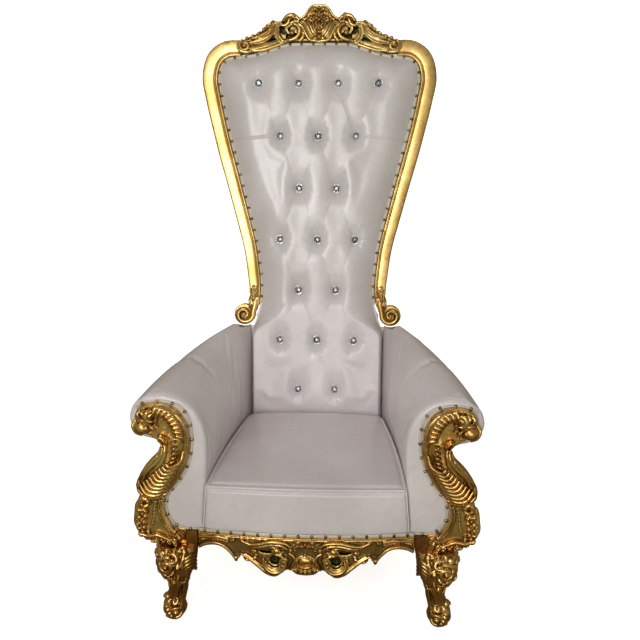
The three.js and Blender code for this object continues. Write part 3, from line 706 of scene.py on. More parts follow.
def crest_wing():
    """The right half: C-scrolls, ribs, lobed arms, beads and the scroll at the shoulder."""
    p = on_back
    return [
        # leafy top of the C-scroll
        strand([(99, 1761), (104, 1748), (116, 1740), (128, 1742)], 24, [3, 5, 4], [20, 17], p),
        strand([(66, 1756), (80, 1770), (96, 1774), (112, 1766), (120, 1752)], 30, [4, 6, 6, 3], [18, 22], p),
        leaf((74, 1752), 60, 34, 9, 24, p, bend=-30, lobes=3), leaf((88, 1758), 66, 24, 8, 22, p, bend=-40),
        leaf((102, 1760), 30, 24, 7, 20, p, bend=-60, lobes=2),
        bead((86, 1775), 8, 12, p), bead((104, 1770), 6, 12, p), bead((120, 1758), 6, 10, p),
        # the big C with its inner ribs
        volute((104, 1720), (44, 36), (-64, 58), [4, 8, 6], [20, 22, 20], p, gutter),
        volute((105, 1720), (35, 30), (-70, 20), [3, 4, 3], [19, 20, 17], p),
        strand([(60, 1738), (53, 1718), (56, 1700), (70, 1690)], 30, [3, 5, 5, 3], [16, 17, 17, 14], p),
        leaf((60, 1704), 75, 30, 6, 15, p, bend=20), leaf((46, 1696), 60, 22, 6, 14, p, bend=-10),
        strand([(86, 1746), (72, 1738), (65, 1722), (71, 1706), (86, 1696), (102, 1692)], 40,
               [5, 6, 5, 5, 3], [20, 22, 20, 18], p),
        strand([(56, 1743), (78, 1750), (100, 1742), (110, 1728), (100, 1715), (91, 1720)], 44,
               [5, 7, 7, 5, 3], [22, 20, 18, 16], p, gutter),
        bead((91, 1717), 9, 10, p), bead((104, 1755), 6, 10, p), bead((128, 1749), 6, 12, p),
        # the arm: long lobes that start at the C-scroll and sink towards the shoulder
        strand([(132, 1749), (152, 1742), (164, 1724), (186, 1708), (228, 1697)], 60,
               [4, 8, 9, 8, 4], [20, 23, 21, 16], p, reeded(2)),
        strand([(146, 1738), (154, 1719), (174, 1700), (202, 1688), (240, 1682)], 60,
               [4, 9, 11, 9, 5], [18, 22, 21, 15], p, gutter),
        strand([(134, 1688), (160, 1682), (188, 1674), (224, 1666), (248, 1667)], 60,
               [3, 8, 9, 8, 3], [14, 19, 19, 15], p, reeded(3)),
        strand([(116, 1684), (150, 1673), (188, 1661), (232, 1657)], 50, [3, 5, 5, 3], [14, 16, 14], p),
        leaf((150, 1748), 0, 30, 8, 21, p, bend=-50, lobes=3),
        leaf((170, 1736), -14, 28, 8, 20, p, bend=-40, lobes=3),
        leaf((190, 1720), -8, 28, 7, 18, p, bend=-40, lobes=3),
        leaf((212, 1709), -4, 26, 7, 16, p, bend=-30, lobes=3),
        leaf((148, 1752), 40, 16, 5, 16, p, bend=-70), leaf((168, 1740), 40, 15, 5, 15, p, bend=-70),
        bead((172, 1737), 6, 12, p), bead((187, 1727), 6.5, 12, p), bead((205, 1715), 5.5, 11, p),
        bead((224, 1708), 5, 10, p), bead((243, 1700), 7, 10, p), bead((262, 1690), 6, 8, p),
        # the scroll at the shoulder
        volute((250, 1676), (20, 6), (70, -330), [5, 7, 6, 4], [15, 19, 21], p, round_band),
        strand([(268, 1692), (274, 1676), (266, 1660), (246, 1654), (228, 1658)], 36, [4, 6, 5, 3],
               [13, 15, 13], p),
        leaf((238, 1664), 190, 28, 8, 17, p, bend=14, lobes=3), bead((230, 1657), 6.5, 10, p),
        bead((250, 1676), 5, 15, p), leaf((252, 1658), 200, 22, 6, 15, p),
        # knots along the foot
        *[bead((x, z), 4.5, 11, p) for x, z in ((62, 1691), (76, 1693), (98, 1691), (112, 1688))],
        leaf((50, 1692), 10, 22, 6, 15, p), leaf((84, 1695), 170, 20, 6, 15, p),
        leaf((90, 1694), 4, 22, 6, 15, p), leaf((126, 1688), 165, 22, 6, 15, p),
    ]


def crest_cartouche():
    """The right half of the flared cartouche: its borders, flutes, sprays and beads."""
    p = on_back
    return [
        strand([(0, 1804), (20, 1803), (34, 1792), (45, 1774), (66, 1760)], 50, [3.6], [19, 19, 17], p),
        strand([(0, 1797), (16, 1796), (28, 1786), (38, 1768), (54, 1754)], 36, [2.4], [15, 15, 13], p),
        strand([(62, 1753), (48, 1744), (38, 1726), (27, 1706), (12, 1692)], 44,
               [6, 11, 12, 9, 5], [18, 21, 20, 16], p, gutter),
        strand([(70, 1747), (56, 1735), (45, 1714), (32, 1694), (0, 1688)], 50, [3.4], [20, 20, 18, 16], p),
        strand([(50, 1752), (40, 1738), (30, 1718), (16, 1701)], 30, [3, 6, 6, 3], [15, 18, 18, 14], p),
        strand([(38, 1752), (28, 1738), (21, 1722), (10, 1708)], 30, [2, 4.5, 4.5, 2], [13, 16, 16, 13], p),
        strand([(22, 1750), (18, 1738), (15, 1728), (8, 1716)], 24, [2, 3, 3, 2], [12, 15, 15, 12], p),
        # sprays of small leaves round the flower
        leaf((34, 1764), 70, 24, 6, 15, p, bend=-24, lobes=3), leaf((42, 1756), 30, 22, 6, 15, p, bend=10),
        leaf((26, 1754), -30, 24, 6, 16, p, bend=-20, lobes=3), leaf((30, 1772), 100, 18, 5, 15, p, bend=30),
        volute((24, 1778), (8, 3), (200, -160), [2.5, 3, 2], [14, 16, 15], p),
        volute((25, 1761), (8, 3), (160, 520), [2.5, 3, 2], [14, 16, 15], p),
        bead((14, 1793), 6.5, 13, p), bead((6, 1799), 3.5, 15, p), bead((13, 1698), 10, 10, p),
        leaf((4, 1782), 70, 14, 5, 18, p), leaf((16, 1776), 30, 18, 5.5, 20, p, bend=30),
        leaf((20, 1767), -5, 16, 5, 19, p), leaf((14, 1758), -40, 16, 5, 18, p),
        leaf((5, 1753), -80, 12, 5, 18, p),
        bead((38, 1778), 3.5, 11, p), bead((49, 1762), 3.5, 10, p),
    ]


def crest_flower():
    """The open flower and the boss with a cross slit under it, on the middle line."""
    petals = rosette((0, 1769), 19, 6, 27, on_back, 30)
    boss = bead((0, 1736), (16, 13), 12, on_back, 12)
    lips = [strand([(-12 * s, 1728), (-7 * s, 1736), (-12 * s, 1745)], 14, 2.5, 26, on_back) for s in (-1, 1)]
    slit = [stroke([(0, 1727), (0, 1737), (0, 1746)], 2, 27, on_back)]
    low = [leaf((0, 1716), -90, 20, 7, 15, on_back), leaf((-4, 1718), -130, 20, 5, 14, on_back, bend=20),
           leaf((4, 1718), -50, 20, 5, 14, on_back, bend=-20)]
    return petals + [boss] + lips + slit + low + [leaf((0, 1750), 90, 14, 5, 20, on_back)]


crest_outline = half_and_mirror(np.concatenate([batten(CREST_TOP, 90), CREST_FOOT]))
ground = board(crest_outline, -28, CREST_FACE, on_back, 3)
fields = mirror([
    board(half + shift, FIELD_FLOOR, 60, on_back, 0)
    for half, shift in ((disc((0, 0), 19, 24), (116, 1732)), (disc((0, 0), 17, 24) * (1.1, 0.9), (93, 1707)),
                        (disc((0, 0), 12, 16) * (1.5, 0.8), (149, 1692)),
                        (disc((0, 0), 9, 16) * (1.6, 0.7), (150, 1729)))
])
foot_line = batten([(267, 1659), (196, 1661), (152, 1678), (101, 1692), (30, 1694), (0, 1694)], 80)
foot_bead = moulded(np.concatenate([foot_line, (foot_line * [-1, 1])[::-1][1:]]), [5], on_back,
                    lambda a, t: 4 + 6 * rounded(a, t), 8, 15)
crest_shapes = mirror(crest_wing() + crest_cartouche()) + crest_flower() + [foot_bead]
out_of_back = lambda v: (BACK_Y - v[:, 1]) * math.cos(RECLINE) + v[:, 2] * math.sin(RECLINE)
carved("carved_crest", ground, fields, crest_shapes, out_of_back, CREST_FACE, satin_gold, "crest")
# %% [markdown]
# ## The apron
# The front rail bows forward and carries the boldest carving under the seat: a run moulding on top, an
# arch at each end with a row of small beads, a C-scroll with a ball, a ribbon of three reeds over a sunk
# pocket, and an oval boss in a frame of leaves. Its ground between the scrolls mirrors the room, and a half
# coat of olive painted reflection darkens it; the sunk pockets get painted shade.

# %% The apron's ornament
APRON_EDGE = [
    (0, 154), (26, 158), (44, 172), (62, 168), (84, 156), (106, 160), (132, 180), (166, 200), (184, 218),
    (200, 200), (215, 216), (238, 238), (262, 244), (292, 238), (314, 226),
]
RAIL_TOP, RAIL_BOTTOM = 280.0, 234.0
APRON_FACE, POCKET_FLOOR = 6, -10  # mm out of the bowed line: the ground, and the bottom of the pockets


def apron_board():
    """The bowed board: sections along its length, thicker above where it carries the seat."""
    half = batten(APRON_EDGE, 120)
    edge = np.concatenate([(half * [-1, 1])[::-1][:-1], half])
    low = edge[:, 1][:, None]
    step = np.maximum(low + 4, RAIL_BOTTOM)
    rise = np.array([[3, 6, 6, -38, -38, -14, -14]])
    top = np.full_like(low, RAIL_TOP - 0.5)
    z = np.concatenate([low, low + 3, top, top, step + 2, step, low], 1)
    return tube(on_apron(edge[:, :1], z, rise))


def apron_side():
    """The right half: arch, sweep, C-scroll and its ball, ribbon, leaves and beads."""
    p = on_apron
    arch = batten([(312, 231), (292, 243), (262, 249), (238, 243), (216, 223), (202, 206), (190, 214)], 90)
    return [
        stroke(arch, [4, 5, 5, 4, 3], [17, 18, 18, 16], p),
        strand([(313, 262), (280, 266), (250, 268), (222, 264)], 50, [2.5, 4, 4, 2], [13, 15, 14], p),
        *bead_row(batten([(304, 253), (280, 259), (250, 258), (228, 252)], 12), 3, 7, p),
        # ribbon of three reeds over the pocket
        strand([(186, 264), (160, 254), (130, 258), (98, 266), (56, 262), (40, 250)], 60,
               [3, 4, 4.5, 4, 3], [15, 20, 21, 18], p),
        strand([(170, 252), (150, 246), (126, 250), (98, 257), (66, 254), (50, 244)], 60,
               [2.5, 4, 4, 4, 2.5], [14, 20, 20, 17], p),
        strand([(146, 244), (128, 243), (104, 249), (80, 246)], 36, [2, 3.5, 3.5, 2], [13, 18, 18, 15], p),
        # lower sweep, from the drop to the C-scroll
        strand([(188, 222), (172, 214), (150, 198), (130, 182), (110, 166), (88, 160), (70, 170)], 90,
               [3, 4, 5, 5, 4, 3], [16, 18, 18, 20, 20, 18], p),
        strand([(176, 224), (156, 210), (136, 194), (122, 184)], 44, [2, 3.5, 3.5, 2], [14, 16, 15], p),
        # C-scroll: two rings and a fan of ribs inside
        volute((86, 201), (36, 27), (20, -250), [3, 5, 5, 4, 3], [20, 23, 22, 20], p),
        volute((87, 200), (27, 20), (10, -200), [2, 3.5, 3.5, 2.5], [17, 19, 18], p),
        volute((87, 200), (20.5, 17), (-20, -170), [2, 2.5, 2], [14, 15, 14], p),
        bead((82, 239), (13, 11), 10, p, 12), bead((62, 204), (9, 9), 12, p, 10), bead((56, 216), 5, 12, p),
        strand([(96, 240), (84, 226), (70, 228), (62, 238)], 24, [3, 4, 3], [17, 19, 17], p),
        volute((58, 205), (16, 7), (-80, 170), [3, 4, 3], [20, 21, 18], p),
        # knots and leaves
        *rosette((148, 232), 11, 5, 18, p, 20),
        leaf((160, 238), 150, 26, 6, 18, p, bend=20), leaf((140, 224), -70, 26, 6, 18, p, bend=20),
        leaf((176, 262), 200, 26, 6, 17, p, bend=14), leaf((196, 262), 176, 22, 6, 15, p, bend=-10),
        leaf((206, 216), -98, 26, 6, 18, p, bend=-8, lobes=3), leaf((198, 214), -84, 22, 5, 19, p, lobes=3),
        leaf((192, 216), -40, 18, 5, 17, p), leaf((182, 206), 200, 24, 5, 16, p, bend=10),
        leaf((222, 262), 200, 18, 5, 14, p), bead((208, 262), 4, 10, p), bead((130, 180), 4.5, 12, p),
        # towards the middle
        strand([(46, 176), (38, 190), (30, 206), (34, 222), (48, 232)], 40, [3, 4, 4, 3], [14, 18, 18, 15], p),
        leaf((16, 246), 150, 16, 5, 15, p), leaf((10, 248), 30, 24, 6, 17, p, bend=-20),
        leaf((28, 252), 5, 22, 5, 16, p, bend=-12), leaf((6, 262), 10, 26, 5, 14, p, bend=-10),
        leaf((40, 240), -60, 20, 5, 16, p), leaf((24, 232), 60, 16, 5, 15, p),
        leaf((6, 181), -60, 24, 7, 17, p, bend=20, lobes=3),
        leaf((16, 184), -38, 28, 7, 17, p, bend=20, lobes=3),
        leaf((24, 190), -30, 24, 6, 17, p, bend=-30, lobes=3), bead((36, 178), 4, 12, p),
    ]


def apron_boss():
    """The oval boss with its double rim, on the middle line."""
    turn = np.linspace(0, 2 * np.pi, 60)
    rim = lambda rx, rz: np.stack([rx * np.cos(turn), 203 + rz * np.sin(turn)], -1)
    return [
        bead((0, 203), (22, 15), 6, on_apron, 9),
        stroke(rim(24, 17), [2.5], [17], on_apron), stroke(rim(29, 22), [2], [13], on_apron),
        leaf((0, 184), -90, 26, 7, 18, on_apron, lobes=3), leaf((0, 246), 90, 20, 6, 16, on_apron, lobes=3),
        bead((0, 228), 5, 12, on_apron),
    ]


oval = lambda centre, rx, rz: disc((0, 0), 1, 20) * (rx, rz) + centre
pockets = mirror([board(oval(*where), POCKET_FLOOR, 60, on_apron, 0)
                  for where in (((113, 231), 20, 8), ((88, 204), 15, 16))])
rail_line = np.stack([np.linspace(-313, 313, 160), np.full(160, 273.0)], -1)
top_moulding = moulded(rail_line, [6], on_apron, lambda a, t: 4 + 9 * np.maximum(
    swell(a, 0.5, 0.5) * (a > 0), 0.75 * swell(a, -0.5, 0.5) * (a <= 0)), 4, 21)
apron_shapes = mirror(apron_side()) + apron_boss() + [top_moulding]
out_of_apron = lambda v: bow_y(v[:, 0]) - v[:, 1]
carved("carved_apron", apron_board(), pockets, apron_shapes, out_of_apron, APRON_FACE, bright_gold, "apron")

# %% [markdown]
# ## The arm fronts
# Each arm ends in a carved facing nailed over the leatherette: long gadroons that curl over a burnished
# ball, a plain neck with a row of husks, a belly of nested strands, a waist, and a flat plate with a
# hanging flower, which stands on the knee. Strands that follow each other are mixes of a first and a last
# line, so they lean together, like the gills of a shell.

# %% The facing's ornament
FACING_OUTLINE = [
    (336, 625), (356, 654), (392, 669), (432, 668), (464, 651), (478, 622), (466, 592), (432, 574), (406, 552),
    (403, 528), (424, 502), (458, 472), (483, 436), (482, 400), (466, 384), (489, 370), (496, 336), (498, 300),
    (478, 270), (440, 246), (404, 236), (366, 243), (352, 262), (378, 284), (402, 314), (410, 350), (402, 388),
    (368, 436), (338, 492), (325, 557), (336, 625),
]


def between(first, last, s):
    """A line part of the way from a first line to a last one, as long strands of carving follow each other."""
    return np.asarray(first, float) * (1 - s) + np.asarray(last, float) * s


def facing_head():
    """A thin rim, long gadroons that spring from it and curl over, a crescent, leaves and a burnished ball."""
    p = on_facing
    rim = [(334, 548), (333, 596), (341, 622), (356, 644), (384, 664), (414, 670), (440, 668), (462, 656),
           (472, 634)]
    starts = batten([(340, 560), (339, 592), (343, 612), (351, 632), (362, 648), (376, 658), (392, 664)], 9)
    tips = batten([(360, 584), (369, 610), (378, 625), (388, 637), (401, 645), (411, 648), (421, 650)], 9)
    shapes = [strand(rim, 90, [4, 4.6, 4.6, 3.4], [15, 17, 16, 13], p)]
    for start, tip in zip(starts, tips):
        run = tip - start
        over = start + 0.55 * run + 0.34 * np.array([-run[1], run[0]])
        shapes.append(strand([start - 0.1 * run, start, over, tip, tip + (4, -7)], 34,
                             [2, 4.4, 5.6, 5, 2.4], [14, 19, 24, 26, 20], p))
    return shapes + [
        bead((456, 605), (23, 21), 6, p, 20),
        strand([(424, 660), (437, 653), (441, 640), (434, 629), (421, 628)], 36, [3, 6.4, 7, 5.6, 3],
               [22, 29, 30, 28, 24], p),
        strand([(424, 650), (430, 643), (426, 636)], 20, [2.4, 3.6, 2.4], [24, 27, 24], p),
        strand([(444, 662), (450, 652), (446, 642), (452, 634)], 26, [3, 5, 5, 3], [18, 26, 27, 22], p),
        strand([(458, 656), (464, 646), (459, 637)], 20, [3, 4.6, 3], [16, 22, 20], p),
        strand([(430, 612), (438, 622), (448, 630), (458, 628), (466, 620)], 34, [3, 5, 5.6, 5, 3],
               [20, 26, 28, 27, 20], p),
        leaf((440, 616), -160, 28, 7, 25, p, bend=24, lobes=3),
        leaf((446, 618), -110, 24, 6.5, 26, p, bend=-20),
        leaf((426, 622), -150, 22, 6, 23, p, bend=30), leaf((418, 640), -120, 20, 6, 23, p, bend=40),
        bead((428, 596), 6, 22, p, 7), bead((421, 590), 4, 18, p), bead((411, 610), 4.5, 20, p),
        bead((395, 602), 2.6, 9, p), bead((380, 574), 2.4, 9, p), bead((392, 586), 2, 9, p),
        strand([(472, 628), (482, 610), (474, 590), (456, 580)], 34, [3, 4, 4, 3], [10, 14, 14, 10], p),
    ]


def facing_neck():
    """A plain dark neck with a row of bright husks; below it long strands run down the inner edge, turn
    round in a nest of U shapes and meet the flutes that come down the outer edge."""
    p = on_facing
    shapes = [strand([(366, 604), (370, 570), (374, 540), (392, 500), (420, 452), (444, 420)], 70,
                     [14, 22, 24, 30, 34, 26], [5, 9, 11, 15, 16, 13], p, rounded)]
    first = [(342, 536), (350, 508), (370, 492), (384, 490), (393, 500)]
    last = [(398, 424), (408, 408), (430, 400), (452, 406), (470, 434)]
    for k in range(9):
        shapes.append(strand(between(first, last, k / 8), 44, [2.4, 4.6, 5.2, 5, 3], [16, 22, 25, 25, 20], p))
    hem = np.array([(333, 556), (337, 520), (352, 482), (376, 444), (396, 412)])
    shapes += [strand(hem + (4.5 * k, 1.5 * k), 60, [2, 3, 3, 2], 13 + 2 * k, p) for k in range(2)]
    for k, (x, z) in enumerate([(368, 563), (367, 547), (368, 532), (371, 517), (376, 504)]):
        size = 1 + 0.08 * k
        line = [(x - 7 * size, z + 4), (x - 1, z + 0.5), (x + 7 * size, z - 3.5)]
        shapes.append(strand(line, 16, [1.6, 3.4 * size, 2.2], [18, 23, 19], p))
    # flutes down the outer edge, from the curled leaf to the round end of the belly
    for line, half, rise in (
        ([(392, 566), (393, 540), (402, 508), (422, 484), (438, 470)], 4.4, 25),
        ([(400, 560), (402, 532), (416, 507), (439, 484), (458, 460)], 4.8, 24),
        ([(406, 548), (413, 526), (432, 504), (452, 481), (470, 452)], 4.6, 21),
        ([(408, 540), (424, 510), (446, 488), (466, 462), (478, 436)], 3.4, 16),
    ):
        shapes.append(strand(line, 60, [2.2, half, half + 0.6, half, 2.6],
                             [rise - 6, rise, rise, rise, rise - 5], p))
    return shapes + [
        strand([(389, 556), (394, 570), (404, 580), (409, 574), (402, 562)], 34, [2.4, 4, 4, 3.4, 2.4],
               [20, 26, 27, 25, 22], p),
        bead((400, 556), 4.6, 22, p), leaf((386, 560), 60, 24, 5, 22, p, bend=20),
        bead((474, 428), (10, 13), 6, p, 12),
        strand([(396, 404), (420, 392), (446, 391), (468, 402), (480, 420)], 40, [2.6, 4, 4.4, 4, 2.6],
               [13, 17, 17, 13], p),
        bead((423, 392), 3.6, 10, p), bead((435, 390), 3.6, 10, p),
    ]


def facing_plate():
    """Inner moulding, hanging flower with its stalk and fruit, and the roll of leaves at the foot."""
    p = on_facing
    return [
        strand([(410, 384), (414, 352), (404, 314), (384, 284), (362, 262)], 60, [3, 4, 4, 3], [14, 14, 13], p),
        strand([(418, 380), (423, 350), (413, 310), (392, 280)], 50, [1.6, 2, 2, 1.6], [8, 9, 8], p),
        *bead_row(batten([(430, 382), (433, 364), (437, 344), (438, 326), (444, 304)], 8), 3, 6, p),
        # tulip, then fruit and leaves that hang down the outer edge
        *[leaf((460, 372), angle, reach, 8.5, 24, p, bend=turn, profile=rounded)
          for angle, reach, turn in ((140, 24, -30), (112, 30, -14), (84, 33, 4), (56, 31, 20), (30, 26, 34))],
        strand([(444, 378), (458, 366), (476, 372)], 24, [3, 5, 3], [18, 24, 18], p),
        *[leaf((466, 340), angle, reach, 7.5, 21, p, bend=turn, profile=rounded)
          for angle, reach, turn in ((130, 20, -30), (96, 24, -6), (60, 24, 20))],
        bead((478, 352), 7, 14, p), bead((460, 334), 7, 15, p), bead((478, 330), 8, 15, p),
        bead((464, 316), 7, 15, p),
        bead((480, 310), 7, 13, p), bead((466, 298), 7, 14, p), bead((486, 320), 6, 9, p),
        bead((482, 292), 6, 11, p),
        leaf((474, 336), -100, 30, 8, 17, p, bend=12), leaf((470, 310), -76, 30, 8, 17, p, bend=-14),
        leaf((460, 294), -112, 26, 7, 17, p, bend=12), leaf((488, 306), -100, 28, 7, 15, p),
        bead((472, 282), 6, 12, p),
        # roll of leaves along the foot
        *[leaf((446 - 19 * k, 274 - 5 * abs(k - 1)), 215 + 4 * k, 40, 10, 22, p, bend=40,
               lobes=3) for k in range(4)],
        *[leaf((470 - 20 * k, 262 - 7 * k), 40 - 16 * k, 26, 8, 20, p, bend=30, lobes=3) for k in range(3)],
        strand([(484, 276), (456, 268), (428, 272), (404, 262), (384, 252)], 50, [4, 6, 6, 5, 3],
               [15, 20, 20, 16], p),
        leaf((384, 272), 130, 22, 7, 18, p, bend=-40), leaf((374, 262), 190, 18, 7, 17, p, bend=-30),
        bead((366, 262), 6, 10, p), bead((388, 258), 5, 13, p), bead((410, 250), 5, 12, p),
    ]


FACING_FACE, FACING_TRIANGLES = 4, 125000
facing_ground = board(batten(FACING_OUTLINE, 160)[:-1], 0.4 - FACING_THICKNESS, FACING_FACE, on_facing, 3)
facing_mesh = melted("facing", [facing_ground] + facing_head() + facing_neck() + facing_plate())
# Painted dark reflection on the facing's ground and painted shade in its hollows, as olive colour.
store_hollows(facing_mesh, sunk=toned_and_shaded(FRONT_Y - coordinates(facing_mesh)[:, 1] / MM, FACING_FACE))
facing_mesh = thinned(facing_mesh, FACING_TRIANGLES)
place_pair("carved_facing_{}", facing_mesh, bright_gold, "gilt", "arm_facing_{}")

# %% [markdown]
# ## The legs
# A cabriole leg: a leafy knee with a spiral rosette, a slim ankle that long strands run down, and a foot
# whose toes fan outwards from a scroll on a ball. Its body is a row of rounded sections; the ornament sits
# on the body's own front, so the surface that carries it swells and shrinks with the leg.

# %% The leg's body
FRONT_LEG = np.array([
    (232, 319, 434, -430, -352), (205, 319, 442, -440, -352), (180, 323, 442, -442, -356),
    (150, 334, 430, -438, -368), (122, 345, 408, -430, -382), (92, 351, 404, -424, -388),
    (68, 358, 404, -424, -390), (50, 360, 424, -434, -386), (16, 362, 428, -436, -384),
    (0, 372, 412, -428, -392),
], float)


SQUARE, LEG_TRIANGLES = 2.6, 98000  # power of the superellipse that the leg's sections are, and its mesh


def leg_skin(stations, rows, square=SQUARE, around=64):
    """Rounded sections: a superellipse fills each station's box, and the stations are splined together."""
    order = stations[::-1]
    z = np.linspace(order[0, 0], order[-1, 0], rows)
    box = np.stack([np.interp(z, order[:, 0], order[:, k]) for k in range(1, 5)], -1)
    for _ in range(6):
        box[1:-1] = (box[:-2] + 2 * box[1:-1] + box[2:]) / 4
    turn = np.linspace(0, 2 * np.pi, around, endpoint=False)[None, :]
    power = lambda v: np.sign(v) * np.abs(v) ** (2 / square)
    x = (box[:, :1] + box[:, 1:2]) / 2 + (box[:, 1:2] - box[:, :1]) / 2 * power(np.cos(turn))
    y = (box[:, 2:3] + box[:, 3:4]) / 2 + (box[:, 3:4] - box[:, 2:3]) / 2 * power(np.sin(turn))
    return tube(stack(x, y, z[:, None]))


def on_leg(x, z, rise):
    """The swelling front of the leg: the front half of a superellipse over each height's box."""
    order = FRONT_LEG[::-1]
    low, high, front, rear = (np.interp(z, order[:, 0], order[:, k]) for k in range(1, 5))
    u = np.clip((x - (low + high) / 2) / ((high - low) / 2), -1, 1)
    depth = (rear - front) / 2
    y = (front + rear) / 2 - depth * (1 - np.abs(u) ** SQUARE) ** (1 / SQUARE)
    return stack(x, np.maximum(y, front) - rise, z)


def leg_ornament():
    """Knee: a shell of leaves with a spiral; ankle: four strands; foot: toes, a scroll and a ball."""
    p = on_leg
    return [
        leaf((352, 228), 80, 16, 9, 10, p), leaf((366, 216), 95, 26, 9, 13, p, bend=20, lobes=3),
        leaf((346, 214), 60, 24, 8, 11, p, bend=40, lobes=3), leaf((420, 222), 20, 24, 8, 12, p, bend=-50),
        leaf((398, 214), 74, 22, 8, 15, p, bend=-20, lobes=3), leaf((436, 214), -60, 22, 7, 11, p),
        leaf((436, 160), -100, 28, 8, 11, p, bend=-16), leaf((392, 190), 160, 24, 8, 15, p, bend=50, lobes=3),
        leaf((410, 168), -20, 26, 8, 15, p, bend=60, lobes=3), leaf((420, 176), 60, 22, 7, 16, p, bend=40),
        # knee leaf and spiral
        volute((404, 184), (27, 7), (130, -420), [4, 6, 6, 5, 3], [8, 14, 18, 18], p),
        bead((404, 184), 6, 14, p),
        volute((384, 206), (17, 5), (40, 400), [4, 5, 4, 3], [10, 14, 14], p), bead((384, 207), 5, 12, p),
        leaf((372, 222), 60, 20, 8, 12, p, bend=-40), leaf((390, 226), 30, 24, 8, 14, p, bend=-40),
        leaf((408, 220), 0, 26, 9, 14, p, bend=-60), leaf((426, 200), -60, 30, 9, 12, p, bend=-20),
        leaf((432, 182), -80, 32, 9, 12, p, bend=-20), leaf((372, 196), -110, 30, 8, 14, p, bend=30),
        leaf((384, 170), -80, 26, 8, 14, p, bend=40), leaf((424, 160), -110, 34, 10, 14, p, bend=-10),
        leaf((402, 160), -60, 26, 8, 14, p, bend=30), leaf((412, 146), 0, 20, 7, 12, p, bend=-40),
        bead((398, 150), 6, 10, p), bead((388, 142), 5, 10, p), bead((412, 138), 5, 10, p),
        # ribbed leaf on the inner side
        *[strand([(322, 206 - 11 * k), (334, 213 - 11 * k), (347, 206 - 12 * k), (350, 196 - 12 * k)], 24,
                 [2, 4.2, 4.2, 2], [7, 14, 13, 7], p) for k in range(6)],
        strand([(350, 222), (356, 196), (354, 168), (346, 142), (350, 122)], 50, [3, 4.5, 4.5, 3],
               [9, 12, 12, 9], p),
        leaf((344, 150), -80, 30, 8, 12, p, bend=20, lobes=3),
        leaf((352, 136), -110, 26, 7, 12, p, bend=30, lobes=3),
        bead((346, 136), 5, 9, p), bead((352, 126), 4, 9, p),
        # ankle strands: they leave the knee, cross the ankle and roll over the foot
        strand([(372, 142), (372, 116), (380, 88), (384, 62)], 50, [3, 6, 6, 4], [8, 15, 16, 12], p),
        strand([(398, 142), (388, 118), (390, 92), (400, 66)], 50, [3, 6, 6, 4], [8, 15, 16, 12], p),
        strand([(416, 134), (403, 112), (401, 90), (410, 70)], 50, [3, 5, 5, 3], [6, 12, 13, 8], p),
        strand([(356, 124), (356, 94), (362, 66), (364, 42)], 50, [2.5, 5, 5, 3], [6, 12, 12, 8], p),
        leaf((386, 134), -100, 26, 7, 15, p, bend=30), leaf((364, 128), -70, 24, 6, 13, p, bend=-30),
        # foot: toes that fan outwards from the curl, and a scrolled ball on its inner side
        volute((384, 64), (10, 3), (60, 420), [4, 4, 3], [14, 17, 17], p),
        *[leaf((392 + 1.5 * k, 66 - 8 * k), 8 - 24 * k, 34 - k, 7.5, 19 - k, p, bend=-26,
               profile=rounded) for k in range(5)],
        strand([(366, 52), (361, 32), (370, 13), (392, 8), (416, 12)], 44, [4, 5.5, 5.5, 4], [10, 14, 14, 9],
               p),
        bead((381, 28), (11, 11), 8, p, 11),
        volute((381, 28), (16, 13), (170, -80), [3, 4, 3], [13, 15, 11], p),
    ]


def box_shape(x0, x1, y0, y1, z0, z1):
    """A block with slightly eased corners, as four rings of eight points."""
    ease = 1.5
    x = np.array([x0, x0, x0 + ease, x1 - ease, x1, x1, x1 - ease, x0 + ease])
    y = np.array([y0 + ease, y1 - ease, y1, y1, y1 - ease, y0 + ease, y0, y0])
    return tube(np.stack([stack(x, y, z) for z in np.linspace(z0, z1, 4)]))


leg_shapes = [leg_skin(FRONT_LEG, 90), box_shape(316, 432, -398, -320, 222, 279.6)] + leg_ornament()
leg_mesh = melted("front_leg", leg_shapes)
store_hollows(leg_mesh)
leg_mesh = thinned(leg_mesh, LEG_TRIANGLES)
place_pair("carved_leg_{}", leg_mesh, bright_gold, "gilt", "front_leg_{}")
block = box_shape(316, 350, -411, -397, 226, 279.6)
place_piece("corner_blocks", mesh_of("corner_blocks", mirror([block])), wood_bole, "gilt", smooth_faces=False)

# %% The rear legs and the rails are left plain, as they stand in the dark
REAR_LEG = np.array([
    (279.6, 222, 274, 146, 206), (230, 222, 274, 148, 206), (150, 226, 270, 178, 222),
    (70, 228, 268, 216, 254), (0, 226, 268, 252, 290),
], float)
rear_leg = mesh_of("rear_leg", [leg_skin(REAR_LEG, 60, 6.0, 72)])
store_hollows(rear_leg)
place_pair("rear_leg_{}_gilt", rear_leg, satin_gold, "gilt", "rear_leg_{}")
for name in ("side_rail_right", "side_rail_left", "rear_rail"):
    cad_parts[name].material_slots[0].material = satin_gold
print("rails keep their solids:", [round(v) for v in span("rear_rail")[1]])
# %% [markdown]
# ## Stuffing
# Leatherette has no shape of its own: it is held at the nails, the seams and the twine, and blown out by
# the stuffing. That could be carved as bumps, but the small pulls and puckers would be guesses. Blender's
# cloth works them out for the buttoned back and the arms: each skin starts from its sewn shape, some of its
# points are held, and an inside pressure swells the rest for twenty steps. The seat and the cover behind
# are stretched so tight that they keep the shape they are drawn with.

# %% Cloth
STEPS = 20


